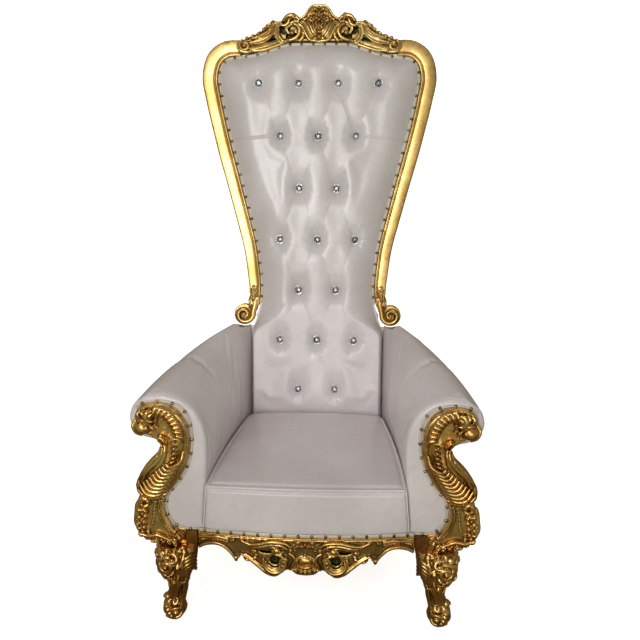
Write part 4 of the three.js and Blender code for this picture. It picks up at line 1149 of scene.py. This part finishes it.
def stuffed(mesh, held, slack, cap, pressure, bending):
    """Swells a skin: held is 1 where a point is nailed or sewn and 0 where it is free; slack is the extra
    cloth as a share of its length; no point moves more than cap mm."""
    thing = bpy.data.objects.new("stuffing", mesh)
    bpy.context.collection.objects.link(thing)
    pins = thing.vertex_groups.new(name="held")
    level = np.round(np.clip(held, 0, 1) * 5) / 5
    for value in np.unique(level[level > 0]):
        pins.add(np.flatnonzero(level == value).tolist(), float(value), "REPLACE")
    cloth = thing.modifiers.new("cloth", "CLOTH")
    how = cloth.settings
    how.quality, how.mass, how.air_damping = 5, 0.3, 2.0
    how.tension_stiffness = how.compression_stiffness = 25
    how.shear_stiffness, how.bending_stiffness = 12, bending
    how.use_pressure, how.uniform_pressure_force = True, pressure
    how.shrink_min, how.vertex_group_mass = -slack, "held"
    how.effector_weights.gravity = 0
    cloth.point_cache.frame_start, cloth.point_cache.frame_end = 1, STEPS
    for step in range(1, STEPS + 1):
        bpy.context.scene.frame_set(step)
    swollen = thing.evaluated_get(bpy.context.evaluated_depsgraph_get()).to_mesh()
    before, after = coordinates(mesh), coordinates(swollen)
    thing.evaluated_get(bpy.context.evaluated_depsgraph_get()).to_mesh_clear()
    bpy.data.objects.remove(thing)
    bpy.context.scene.frame_set(1)
    move = after - before
    far = np.linalg.norm(move, axis=1, keepdims=True) / MM
    move *= np.minimum(1, cap / np.maximum(far, 1e-6))
    mesh.vertices.foreach_set("co", (before + move).astype(np.float32).ravel())
    mesh.update()
    print(f"{mesh.name}: {len(before)} points, moved {far.mean():.1f} mm on average, {far.max():.1f} at most")
    return mesh


# %% [markdown]
# ## The buttoned back
# The upholsterer pulls the leatherette down with twine at each crystal and lets it swell between them.
# It is shallow tufting: a soft dimple at each crystal, creases that run from dimple to dimple and fade
# half way, and full vertical folds between. Two parameters span the panel, x across and z up the back,
# and one sum of simple terms gives its height.

# %% Where the crystals sit, and how wide the back is
SEAT_FOOT, PANEL_TOP, ARM_GAP = 292.0, 1690.0, 228.0
BUTTON_ROWS = [2, 3, 2, 3, 2, 3, 4]
FIRST_ROW, ROW_STEP, PITCH, TOP_PITCH = 504.0, 174.0, 128.0, 134.0
buttons = np.array([
    ((i - (count - 1) / 2) * (TOP_PITCH if count == 4 else PITCH), FIRST_ROW + row * ROW_STEP)
    for row, count in enumerate(BUTTON_ROWS) for i in range(count)
])


def inner_edge(gap):
    """The stile's inner edge, brought in by a gap, from the crest round the shoulder to the volute."""
    run = np.gradient(stile_line, axis=0)
    run /= np.linalg.norm(run, axis=1)[:, None]
    half = spread(STILE_HALVES, len(stile_line))[:, None] + gap
    return (stile_line - half * np.stack([-run[:, 1], run[:, 0]], -1))[:-4]


edge_line = inner_edge(0.0)
shoulder = int(np.argmax(edge_line[:, 0]))
print("crystals:", len(buttons), "widest inside:", edge_line[shoulder].round())


def panel_half(z):
    """Half width of the panel at a height: the stiles above, the arms below the volutes."""
    neck = [(200, 796), (207, 774), (213, 752), (218, 735), (225, 715), (ARM_GAP, 690), (ARM_GAP, 280)]
    side = np.concatenate([edge_line[shoulder:], neck])
    return np.interp(-z, -side[:, 1], side[:, 0])


def panel_top(x):
    """Upper edge of the panel: the crest's foot, then the stile's inner edge round the shoulder."""
    line = np.concatenate([np.array(CREST_FOOT)[:0:-1], edge_line[: shoulder + 1]])
    line = line[np.argsort(line[:, 0])]
    return np.interp(np.abs(x), line[:, 0], line[:, 1])


# %% The height of the tufted skin
def soft_step(v):
    """0 below 0, 1 above 1, smooth between."""
    v = np.clip(v, 0, 1)
    return v * v * (3 - 2 * v)


def to_segment(x, z, a, b):
    """Distance to a segment, and how far along it from 0 to 1."""
    d = np.subtract(b, a)
    t = np.clip(((x - a[0]) * d[0] + (z - a[1]) * d[1]) / (d @ d), 0, 1)
    return np.hypot(x - a[0] - t * d[0], z - a[1] - t * d[1]), t


def creases():
    """Pairs of neighbouring crystals in rows above each other."""
    return [(a, b) for a in buttons for b in buttons
            if abs(b[1] - a[1] - ROW_STEP) < 1 and abs(abs(b[0] - a[0]) - PITCH / 2) < 14]


def tufted(x, z):
    """Pad, less a dimple at each crystal, less fading creases between them, plus folds and puckers."""
    reach = 14 + 92 * soft_step((z - 690) / 110)
    side = (panel_half(z) - np.abs(x) - 7 * soft_step((z - 700) / 60)) / reach
    top = (panel_top(x) - z - 7) / 92
    side, top = np.clip(side, 1e-3, 3), np.clip(top, 1e-3, 3)
    edge = np.clip((side**-4 + top**-4) ** -0.25, 0, 1)
    edge = 1 - (1 - edge) ** 2.2
    lean = 0.5 + 0.5 * soft_step((z - SEAT_FOOT) / 220)
    height = 55.0 * lean + 3 * np.cos(np.pi * x / PITCH) ** 2 * soft_step((z - 400) / 100)
    fold = np.zeros_like(x)
    for bx, bz in buttons:
        dx, dz = x - bx, z - bz
        wide = np.hypot(dx / 29, dz / np.where(dz > 0, 48, 38))
        fold += 15 * np.exp(-(wide**2)) + 6 * np.exp(-((np.hypot(dx, dz) / 17) ** 2))
        ray = np.arctan2(dz, dx)
        ring = np.exp(-(((np.hypot(dx, dz) - 27) / 15) ** 2))
        fold += 0.7 * ring * np.cos(7 * ray + bx * 0.13 + bz * 0.07) + 0.4 * ring * np.cos(13 * ray + bz * 0.3)
    for a, b in creases():
        d, t = to_segment(x, z, a, b)
        sharp = 0.12 + 0.88 * np.abs(2 * t - 1) ** 2.4
        fold += 4.6 * sharp * np.exp(-((d / 15) ** 2)) + 2.4 * sharp * np.exp(-((d / 5.0) ** 2))
    return 3 + (height - 3) * edge - np.minimum(fold, 40) * np.minimum(edge * 1.4, 1)


def pleats():
    """Ends of the sewn pleat lines: from the outer crystals of a row to the frame, and one between rows."""
    row = {round(z): buttons[np.abs(buttons[:, 1] - z) < 1] for z in buttons[:, 1]}
    third, top = row[round(FIRST_ROW + 5 * ROW_STEP)], row[round(FIRST_ROW + 6 * ROW_STEP)]
    out = [(np.array(b) + (s * 26, -2), (s * (float(panel_half(b[1] - 12)) - 2), b[1] - 14))
           for b, s in ((third[0], -1), (third[-1], 1))]
    return out + [(top[2] + (8, -34), third[2] + (-8, 26))]


def back_sheet():
    """The panel's front as a grid of about 6 mm, u across and v up each column: its x, z and rise."""
    u = np.linspace(-1, 1, 98)[None, :]
    u = np.sign(u) * (1 - (1 - np.abs(u)) ** 1.12)
    end = np.full_like(u, PANEL_TOP - 6)
    for _ in range(8):
        end = 0.5 * end + 0.5 * np.minimum(PANEL_TOP - 6, panel_top(u * panel_half(end)) + 1)
    z = SEAT_FOOT + (end - SEAT_FOOT) * np.linspace(0, 1, 250)[:, None]
    x = u * panel_half(z)
    return x, z, tufted(x, z)


def sheet_mesh(name, rings):
    """An open grid of points (n, m, 3), in mm, as a mesh."""
    n, m = rings.shape[:2]
    i, j = np.arange(n - 1)[:, None] * m, np.arange(m - 1)[None, :]
    quads = np.stack([i + j, i + j + m, i + j + m + 1, i + j + 1], -1).reshape(-1, 4)
    mesh = bpy.data.meshes.new(name)
    mesh.from_pydata((rings.reshape(-1, 3) * MM).tolist(), [], quads.tolist())
    return mesh


def refined(grid):
    """A grid of points at twice its count each way, by the cubic mid point of four neighbours."""
    for axis in (0, 1):
        g = np.moveaxis(grid, axis, 0)
        q = np.concatenate([2 * g[:1] - g[1:2], g, 2 * g[-1:] - g[-2:-1]])
        mid = (9 * (q[1:-2] + q[2:-1]) - q[:-3] - q[3:]) / 16
        out = np.empty((2 * len(g) - 1, *g.shape[1:]))
        out[::2], out[1::2] = g, mid
        grid = np.moveaxis(out, 0, axis)
    return grid


flat_x, flat_z, rise = back_sheet()
front = on_back(flat_x, flat_z, rise)
edge = np.minimum(panel_half(flat_z) - np.abs(flat_x),
                  np.minimum(panel_top(flat_x) - flat_z, flat_z - SEAT_FOOT))
near = np.min([np.hypot(flat_x - bx, flat_z - bz) for bx, bz in buttons], axis=0)
held = np.maximum(1 - soft_step((edge - 8) / 14), 1 - soft_step((near - 14) / 9))
sheet = stuffed(sheet_mesh("tufted_back", front), held.ravel(), 0.0, 9, 1.2, 20.0)
front = refined(coordinates(sheet).reshape(*flat_x.shape, 3) / MM)
print("held points:", int((held > 0.5).sum()), "of", held.size)

# %% Pleat lines and the closing of the shell
x, z = refined(np.stack([flat_x, flat_z], -1)).transpose(2, 0, 1)
sunk = 0 * x
for a, b in pleats():
    d, t = to_segment(x, z, a, b)
    sunk += 4.4 * np.exp(-((d / 2.2) ** 2)) * np.minimum(1, 5 * t * (1 - t) + 0.4)
front -= sunk[..., None] * on_back(0, 0, 1.0) - sunk[..., None] * on_back(0, 0, 0.0)
rear = on_back(x[:, [-1, 0]], z[:, [-1, 0]], np.full((len(z), 1), -9.6))
back_mesh = mesh_of("tufted_back", [tube(np.concatenate([front, rear], 1)[:, ::-1])])
back = place_piece("tufted_back", back_mesh, pearl, "leatherette", "back_panel")

# %% [markdown]
# ## The outer back
# Behind, the back is closed with one stretched cover. It is barely crowned, and tacked under its own fold,
# so that no nail shows. Seen from behind it is the plainest piece, and a few rings of points are enough.

# %% Outer cover
def cover_outline(gap, low_half):
    """The outline that fills the frame behind, with a half width below the volutes."""
    foot = np.array(CREST_FOOT[1:])[::-1] - (0, 1 + gap)
    neck = [(200, 796), (207, 774), (214, 762), (214, 722), (low_half, 716), (low_half, SEAT_FOOT)]
    side = inner_edge(gap)[6::6]
    return half_and_mirror(np.concatenate([[(0, foot[0, 1])], foot, side, neck, [(0, SEAT_FOOT)]]))


def cover_skin(outline):
    """Rings that shrink towards the middle line: the skin swells backwards by 9 mm."""
    outline = np.asarray(outline, float)
    middle = np.stack([outline[:, 0] * 0, np.clip(outline[:, 1], 420, 1540)], -1)
    rings = [on_back(outline[:, 0], outline[:, 1], -11.0)]
    for s in np.linspace(0, 0.94, 26):
        q = outline + (middle - outline) * s
        rings.append(on_back(q[:, 0], q[:, 1], -26 - 9 * np.sqrt(1 - (1 - s) ** 2)))
    return tube(np.stack(rings))


cover_mesh = mesh_of("outer_cover", [cover_skin(cover_outline(1.5, 262.0))])
cover = place_piece("outer_cover", cover_mesh, pearl, "leatherette", "back_cover")

# %% [markdown]
# ## The arms
# Each arm is a padded slab that rolls outwards in front and runs back into the frame of the back. Its
# section is drawn at the front and at the rear, and every section between is a mix of the two that also
# swells outwards and humps up a little, as stuffing does under a tight cover.

# %% Arm sections
ARM_FRONT = [
    (300, 281), (292, 380), (286, 450), (281, 535), (289, 600), (313, 650), (352, 681), (400, 694), (450, 687),
    (485, 660), (497, 622), (487, 590), (462, 567), (425, 556), (404, 535), (400, 490), (424, 430), (440, 370),
    (440, 281),
]
ARM_REAR = [
    (228, 281), (228, 370), (228, 450), (228, 535), (228, 600), (229, 660), (234, 712), (250, 738), (264, 730),
    (272, 708), (274, 680), (274, 650), (274, 610), (274, 570), (274, 530), (274, 480), (274, 420), (274, 360),
    (274, 281),
]
ARM_BULGE, ARM_RAISE, ARM_HOLLOW = 26.0, 14.0, 11.0
ARM_POINTS, ARM_NOSE, ARM_LENGTH = 190, 13.0, 540  # points a section, radius of the front edge, depth


def fine(points, count):
    """A spline through every drawn point, at even steps of the point's number."""
    p = np.asarray(points, float)
    q = np.vstack([2 * p[0] - p[1], p, 2 * p[-1] - p[-2]])
    u = np.linspace(0, len(p) - 1 - 1e-9, count)
    i = u.astype(int)
    f = (u - i)[:, None]
    a, b, c, d = (q[i + k] for k in range(4))
    return 0.5 * (2 * b + (c - a) * f + (2 * a - 5 * b + 4 * c - d) * f**2 + (3 * b - a - 3 * c + d) * f**3)


def arm_section(s):
    """The right arm's section at s, 0 in front and 1 behind: x, y and z of its points."""
    front, rear = fine(ARM_FRONT, ARM_POINTS), fine(ARM_REAR, ARM_POINTS)
    j = np.linspace(0, len(ARM_FRONT) - 1, ARM_POINTS)
    mid = 4 * s * (1 - s)
    out = ARM_HOLLOW + (ARM_BULGE - ARM_HOLLOW) * soft_step((j - 4) / 6)
    x = front[:, 0] + (rear[:, 0] - front[:, 0]) * s + mid * out
    z = front[:, 1] + (rear[:, 1] - front[:, 1]) * s + mid * ARM_RAISE * np.exp(-(((j - 8) / 3.4) ** 2))
    rear_y = BACK_Y + z * math.tan(RECLINE) + 9.6 / math.cos(RECLINE)
    return stack(x, FRONT_Y + (rear_y - FRONT_Y) * s, z)


def arm_skin():
    """The arm's sections from front to back, with a rounded front edge and small pulls at the nails."""
    stations = np.concatenate([np.linspace(0, 0.06, 16)[1:], np.linspace(0.06, 1, 70)[1:]])
    rings = np.stack([arm_section(s) for s in stations])
    first = arm_section(0.0)
    run = np.roll(first, -1, 0) - np.roll(first, 1, 0)
    run /= np.linalg.norm(run, axis=1)[:, None]
    inward = np.stack([run[:, 2], 0 * run[:, 0], -run[:, 0]], -1)
    centre = np.array([375, FRONT_Y, 520])
    if np.sum(inward * (centre - first)) < 0:
        inward = -inward
    nose = []
    inset = inward * ARM_NOSE * soft_step((first[:, 2:] - 283) / 34)
    for a in np.linspace(0, np.pi / 2, 9)[:-1]:
        ring = first + inset * (1 - math.sin(a))
        ring[:, 1] = FRONT_Y + ARM_NOSE * (1 - math.cos(a))
        nose.append(ring)
    skin = np.concatenate([np.stack(nose), rings[rings[:, 0, 1] > FRONT_Y + ARM_NOSE]])
    s = np.clip((skin[..., 1] - FRONT_Y) / ARM_LENGTH, 0, 1)
    j = np.linspace(0, 18, ARM_POINTS)[None, :]
    roll = np.exp(-(((j - 7.5) / 3.2) ** 2))
    pulls = np.exp(-((s * ARM_LENGTH / 46) ** 2)) * np.cos(j * 6.3) * 1.6 * roll
    skin[..., 2] += pulls
    skin[..., 2] -= 1.5 * roll * np.exp(-(((s - 0.34 - 0.02 * j) / 0.03) ** 2))
    return tube(skin)


def notch_drum():
    """The space round the volute: a drum about its axis."""
    x, z = disc(VOLUTE, 41, 64).T
    return tube(np.stack([on_back(x, z, -70.0), on_back(x, z, 70.0)]))


arm_points, arm_faces = arm_skin()
arm_cloth = mesh_of("arm", [(arm_points, arm_faces)])
px, py, pz = arm_points.T
held = 1 - soft_step((pz - 290) / 30) * soft_step((py - FRONT_Y - 14) / 26) * soft_step((BACK_Y - 40 - py) / 40)
held = np.maximum(held, (px < 330) * (1 - soft_step((pz - 425) / 40)))
stuffed(arm_cloth, held, 0.004, 10, 2.5, 4.0)
arm_mesh = mesh_of("arm", [cut_through([(coordinates(arm_cloth) / MM, arm_faces)], [notch_drum()])])
for arm in place_pair("padded_arm_{}", arm_mesh, pearl, "leatherette", "arm_{}"):
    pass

# %% [markdown]
# ## The seat
# A sprung seat: a tight front border, a domed top, a welt sewn round the edge between them and an upright
# seam where the border meets the arms. It sinks a little where people sit.

# %% Seat
SEAT = {"front": 287.0, "rear": 226.0, "rear_y": 137.6, "foot": 280.4, "top": 428.0, "crown": 16.0}
SEAT_DEPTH, BORDER_FOOT, BORDER_HEIGHT = 430, 281, 138


def seat_y(x, s):
    """From the bowed front line, brought in by 2 mm, to the straight rear as s goes from 0 to 1."""
    return bow_y(x) + 2 + (SEAT["rear_y"] - bow_y(x) - 2) * s


def seat_half(s, height):
    """Half width of the seat at s from front to rear; height is 0 at its foot and 1 at its top."""
    foot = SEAT["front"] + 10 + (SEAT["rear"] - SEAT["front"] - 9) * s
    top = SEAT["front"] - 2 + (SEAT["rear"] - SEAT["front"] + 2) * s
    return foot + (top - foot) * height + 4 * s * (1 - s) * ARM_HOLLOW


def seat_top(u, s):
    """Height of the top: a dome that falls away at its edges, with a shallow hollow in the middle."""
    dome = SEAT["crown"] * (1 - u**2) * np.sin(np.pi * (0.12 + 0.7 * s))
    near = np.minimum(np.minimum(s * SEAT_DEPTH, (1 - s) * SEAT_DEPTH + 8), (1 - np.abs(u)) * 250) + 0 * u
    edge = np.sqrt(np.clip(1 - (1 - np.clip(near / 26, 0, 1)) ** 2, 0, 1))
    slack = 2.4 * np.exp(-(((u - 0.1) / 0.5) ** 2 + ((s - 0.5) / 0.3) ** 2))
    beside = (near < s * SEAT_DEPTH + 1e-6) * (1 - soft_step((s - 0.93) / 0.05))
    seam = 4.5 * np.exp(-(((near - 8) / 3.2) ** 2)) * beside
    return SEAT["top"] - 9 + 9 * edge + dome - slack - seam


def seat_skin():
    """Sections from front to rear; the first ones round the top front edge over."""
    u = np.linspace(-1, 1, 110)
    u = np.sign(u) * (1 - (1 - np.abs(u)) ** 1.5)
    s = np.concatenate([np.linspace(0, 0.06, 18), np.linspace(0.06, 1, 75)[1:]])
    rings = []
    for k in s:
        half = seat_half(k, 1.0)
        x = u * half
        top = stack(x, seat_y(x, k), seat_top(u, k))
        h = np.linspace(0, 1, 16)[1:-1]
        swell_out = 5 * np.sin(np.pi * h) * (1 if k < 0.9 else 0)
        sides = []
        for side in (1, -1):
            xs = side * (seat_half(k, h) - swell_out * 0.2)
            z = SEAT["foot"] + (seat_top(np.array(1.0), k) - SEAT["foot"]) * h
            sides.append(stack(xs, seat_y(xs, k), z))
        xf = -u * seat_half(k, 0.0)
        foot = stack(xf, seat_y(xf, k), SEAT["foot"])
        rings.append(np.concatenate([top, sides[0][::-1], foot, sides[1]]))
    return tube(np.stack(rings))


def seat_front():
    """The border's own skin, crowned by 7 mm, over the seat's flat front end."""
    h = (1 - np.linspace(1, 0, 60) ** 1.6)[:, None]
    u = np.linspace(-1, 1, 160)[None, :]
    x = u * (seat_half(0.0, h) - 1)
    z = BORDER_FOOT + (seat_top(u, 0.0) - BORDER_FOOT) * h
    edge = np.sqrt(np.clip(1 - (1 - np.clip(np.minimum(h, 1 - h) * 7, 0, 1)) ** 2, 0, 1))
    side = np.sqrt(np.clip(1 - (1 - np.clip((1 - np.abs(u)) * 14, 0, 1)) ** 2, 0, 1))
    seam = 5 * np.exp(-(((1 - h) * BORDER_HEIGHT - 7) / 3.5) ** 2)
    y = bow_y(x) + 2 - 8 * edge * side + 1.0 * np.sin(9 * u + 2 * h) + seam
    front = stack(x, y, z)
    rear = stack(x, bow_y(x) + 9, z)
    return tube(np.concatenate([front, rear[:, ::-1]], 1))


seat_mesh = mesh_of("seat", [seat_skin(), seat_front()])
seat = place_piece("sprung_seat", seat_mesh, pearl, "leatherette", "seat")


# %% Welts
def cord_skin(path, r):
    """A round cord along a line of points in space: a circle of ten points square to the line at each."""
    path = np.asarray(path, float)
    run = np.gradient(path, axis=0)
    run /= np.linalg.norm(run, axis=1)[:, None]
    up = np.where(np.abs(run[:, 2:]) > 0.8, [[0.0, 1, 0]], [[0.0, 0, 1]])
    e1 = np.cross(run, up)
    e1 /= np.linalg.norm(e1, axis=1)[:, None]
    e2 = np.cross(run, e1)
    a = np.linspace(0, 2 * np.pi, 10, endpoint=False)[None, :, None]
    return tube(path[:, None] + r * (np.cos(a) * e1[:, None] + np.sin(a) * e2[:, None]))


def top_edge(side):
    """The seat's top edge at one side, from front to rear."""
    s = np.linspace(0, 0.97, 90)
    x = side * (seat_half(s, 1.0) - 1)
    return stack(x, seat_y(x, s), seat_top(np.full_like(s, 1.0), s) + 2)


front_u = np.linspace(-1, 1, 120)
front_x = front_u * (seat_half(0.0, 1.0) - 1)
front_welt = stack(front_x, bow_y(front_x) - 2, seat_top(front_u, np.zeros(120)) + 2.0)
drop_z = np.linspace(419, 282, 40)
drop_x = seat_half(0.0, (drop_z - BORDER_FOOT) / BORDER_HEIGHT) + 1
drops = [stack(s * drop_x, bow_y(296.0) - 1 - 2 * np.sin((drop_z - 282) / 44), drop_z) for s in (-1, 1)]
welts = [cord_skin(front_welt, 4.2), cord_skin(top_edge(1), 4.0), cord_skin(top_edge(-1), 4.0)]
welts += [cord_skin(line, 2.4) for line in drops]
place_piece("seat_welts", mesh_of("seat_welts", welts), pearl, "leatherette")

# %% [markdown]
# ## Gimp and nails
# The cut edge of the cover is hidden by a narrow strip, and dome nails hold it to the wood about every
# 38 mm. The strip is a flat ribbon that follows the edge; a nail is a small dome with a rim.

# %% Gimp and nails
def ribbon(path, out, width, thick):
    """A flat strip: the path offset by width along the plane, square to it by thick."""
    out = out + 0 * path
    run = np.gradient(path, axis=0)
    run /= np.linalg.norm(run, axis=1)[:, None]
    side = np.cross(run, out)
    side /= np.linalg.norm(side, axis=1)[:, None]
    corners = [(-0.5, 0), (-0.42, 0.8), (0, 1), (0.42, 0.8), (0.5, 0)]
    rings = [path + side * width * a + out * (thick * b) for a, b in corners]
    return tube(np.stack(rings, 1))


def nails(path, out, pitch, r=5.0):
    """Dome nails that face out at even steps of a path: a sunk rim, then seven rings up to the crown."""
    length = np.linalg.norm(np.diff(path, axis=0), axis=1)
    run = np.concatenate([[0], np.cumsum(length)])
    count = max(int(run[-1] / pitch), 2)
    at = (np.arange(count) + 0.5) * run[-1] / count
    spots = np.stack([np.interp(at, run, path[:, k]) for k in range(3)], -1)
    a = np.linspace(0, 2 * np.pi, 14, endpoint=False)[:, None]
    e1 = np.cross(out, [1.0, 0, 0.13])
    e1 /= np.linalg.norm(e1)
    circle = np.cos(a) * e1 + np.sin(a) * np.cross(out, e1)
    turns = np.linspace(0, np.pi / 2 - 0.05, 7)
    dome = [circle * r - out * 3] + [circle * r * math.cos(t) + out * r * 0.7 * math.sin(t) for t in turns]
    return [tube(spot + np.stack(dome)) for spot in spots]


BACK_PITCH, FACING_PITCH, APRON_PITCH = 38, 42, 37  # mm from nail to nail
forward = np.array([0, -math.cos(RECLINE), math.sin(RECLINE)])
ahead = np.array([0, -1.0, 0])
crest_edge = batten([(196, 1652), (152, 1669), (101, 1684), (30, 1686), (0, 1686)], 90)
back_edge = np.concatenate([crest_edge[::-1] - (0, 6), inner_edge(5.0)[14:]])
back_path = on_back(back_edge[:, 0], back_edge[:, 1], 5.0)
facing_edge = batten([(474, 660), (452, 672), (430, 676), (388, 675), (348, 660), (328, 629), (321, 592),
                      (320, 557),
                      (333, 490), (363, 433), (397, 389), (403, 350), (396, 317), (374, 293), (352, 285),
                      (314, 284)], 200)
facing_path = stack(facing_edge[:, 0], FRONT_Y - 3, facing_edge[:, 1])
apron_u = np.linspace(-1, 1, 200)
apron_path = stack(apron_u * 312, bow_y(apron_u * 312) - 6, 284.0)

gimp = mirror([ribbon(back_path, forward, 10, 2.4), ribbon(facing_path, ahead, 7, 1.6)])
gimp += [ribbon(apron_path, ahead, 11, 2.2)]
place_piece("gimp_strips", mesh_of("gimp_strips", gimp), gimp_cloth, "leatherette")
studs = nails(back_path + 2.4 * forward, forward, BACK_PITCH, 4.8)
studs += nails(facing_path + (0, -1.6, 0), ahead, FACING_PITCH)
studs = mirror(studs) + nails(apron_path + (0, -2.4, 0), ahead, APRON_PITCH)
place_piece("dome_nails", mesh_of("dome_nails", studs), nail_brass, "gilt")
print("nails:", len(studs))

# %% [markdown]
# ## The crystals
# Each button is a round cut stone in a silver cup: a flat table, a row of kite facets that slope to the
# girdle and a pointed pavilion behind, where the foil throws the light back.

# %% Crystals
STONE_RADIUS, CUP_LIFT = 12.6, 11.0


def stone(r):
    """Sixteen-sided rings from table to culet: radius and height of each."""
    a = np.linspace(0, 2 * np.pi, 16, endpoint=False)
    wave = np.where(np.arange(16) % 2 == 0, 1.0, 0.94)
    even = np.ones(16)
    rings = [(0.5, 5.2, wave), (0.8, 4.0, wave[::-1]), (1.0, 2.2, even), (1.0, 1.4, even), (0.16, -4.5, wave)]
    return [(r * k * w * np.cos(a), r * k * w * np.sin(a), h) for k, h, w in rings]


def button_at(bx, bz, rings):
    """A ring set placed on the tufted skin, facing out of it."""
    base = float(tufted(np.array([[bx]]), np.array([[bz]]))[0, 0]) + CUP_LIFT
    return tube(np.stack([on_back(bx + x, bz + z, base + h) for x, z, h in rings]))


turn = np.linspace(0, 2 * np.pi, 28, endpoint=False)
cup = [(k * np.cos(turn), k * np.sin(turn), h) for k, h in
       ((3.0, -10.0), (11.5, -6.5), (14.6, 0.0), (15.0, 2.4), (14.4, 3.4), (13.4, 2.8), (12.6, 0.8),
        (2.6, -4.8))]
for i, (bx, bz) in enumerate(buttons):
    stone_mesh = mesh_of("stone", [button_at(bx, bz, stone(STONE_RADIUS))])
    place_piece(f"crystal_{i + 1}", stone_mesh, cut_crystal, "crystal", f"crystal_button_{i + 1}",
                smooth_faces=False)
cups = mesh_of("cups", [button_at(bx, bz, cup) for bx, bz in buttons])
place_piece("silver_cups", cups, silver_foil, "crystal")

# %% [markdown]
# ## Light and camera
# A paper sweep runs from the floor up the wall. A tall window lamp, a high one and a level one stand beside
# the camera, a low one fills the shadows, and a wide one washes the wall. Polished gold needs something dim
# to mirror as well, so the paper and the room are white to the eye alone.

# %% Stage
def plain(name, colour, dim, rough):
    """A matt paper, lit a little from within so that the sweep stays even. The eye sees it pale, but it
    throws back little light: the real throne stands on a dim floor, and its polished gold mirrors that."""
    paint = finish(name)
    eye = add(paint, "LightPath").outputs["Is Camera Ray"]
    feed(paint, Base_Color=blend_colours(paint, eye, dim, colour))
    feed(paint, Emission_Color=blend_colours(paint, eye, "#000000", colour))
    feed(paint, Roughness=patches(paint, 60, to=(rough, rough + 0.05)))
    paint.node_tree.nodes["Principled BSDF"].inputs["Emission Strength"].default_value = 0.9
    return paint


sweep_y = np.array([-800, 1200, 2200, 2700, 3000, 3100, 3100, 3100], float)
sweep_z = np.array([0, 0, 0, 60, 260, 700, 2600, 5200], float)
sweep_u = np.linspace(0, 1, 60)
path_y = np.interp(sweep_u, np.linspace(0, 1, 8), sweep_y)
path_z = np.interp(sweep_u, np.linspace(0, 1, 8), sweep_z)
sweep = np.stack([stack(x, path_y, path_z) for x in np.linspace(-3600, 3600, 12)])
floor_mesh = sheet_mesh("paper_sweep", sweep)
floor_mesh.materials.append(plain("pale_paper", "#f4f3f1", "#86714e", 0.8))
floor = bpy.data.objects.new("paper_sweep", floor_mesh)
bpy.context.collection.objects.link(floor)


def studio(seen, above, below):
    """The room: light above and dim olive below for what lights and mirrors in the throne; where the eye
    looks past the paper it sees the paper's own white."""
    world = bpy.data.worlds.new("studio")
    world.use_nodes = True
    place = add(world, "TexCoord").outputs["Generated"]
    up = add(world, "SeparateXYZ", {0: place}).outputs["Z"]
    height = add(world, "MapRange", {"Value": up, "From Min": -0.05, "From Max": 0.75}).outputs["Result"]
    room = blend_colours(world, height, below, above)
    eye = add(world, "LightPath").outputs["Is Camera Ray"]
    shader = world.node_tree.nodes["Background"]
    world.node_tree.links.new(blend_colours(world, eye, room, seen), shader.inputs["Color"])
    return world


bpy.context.scene.world = studio((1, 1, 1, 1), (0.28, 0.267, 0.262, 1), (0.25, 0.268, 0.19, 1))


def lamp(name, place, aim, size, watts, spread_angle=180):
    """A square soft lamp at a place, in metres, that looks at an aim; a grid in front may narrow its beam."""
    light = bpy.data.lights.new(name, "AREA")
    light.spread = math.radians(spread_angle)
    light.shape, light.size, light.size_y = "RECTANGLE", size[0], size[1]
    light.energy = watts
    thing = bpy.data.objects.new(name, light)
    thing.location = place
    thing.rotation_euler = (Vector(aim) - Vector(place)).to_track_quat("-Z", "Y").to_euler()
    bpy.context.collection.objects.link(thing)


lamp("window", (-0.9, -3.1, 2.05), (-0.3, 0.2, 1.3), (0.7, 1.5), 8, spread_angle=110)
lamp("high_key", (-0.25, -3.2, 2.3), (0, 0.2, 1.5), (1.0, 1.0), 1.7, spread_angle=70)
lamp("key", (-0.7, -3.3, 1.5), (0, 0.1, 1.2), (1.4, 1.2), 4.5, spread_angle=100)
lamp("low_fill", (0.3, -3.0, 0.5), (0, 0, 0.5), (2.0, 0.7), 3, spread_angle=90)
lamp("wall_wash", (0, 2.0, 3.6), (0, 3.1, 1.4), (5.0, 0.5), 60)

bpy.context.scene.view_settings.view_transform = "Standard"
camera = bpy.data.cameras.new("camera")
camera.sensor_width, camera.lens = 36, 46.32
viewer = bpy.data.objects.new("camera", camera)
viewer.location = (0.143, -2.529, 1.509)
viewer.rotation_euler = (math.radians(90 - 15.521), 0, math.radians(2.743))
bpy.context.collection.objects.link(viewer)
bpy.context.scene.camera = viewer
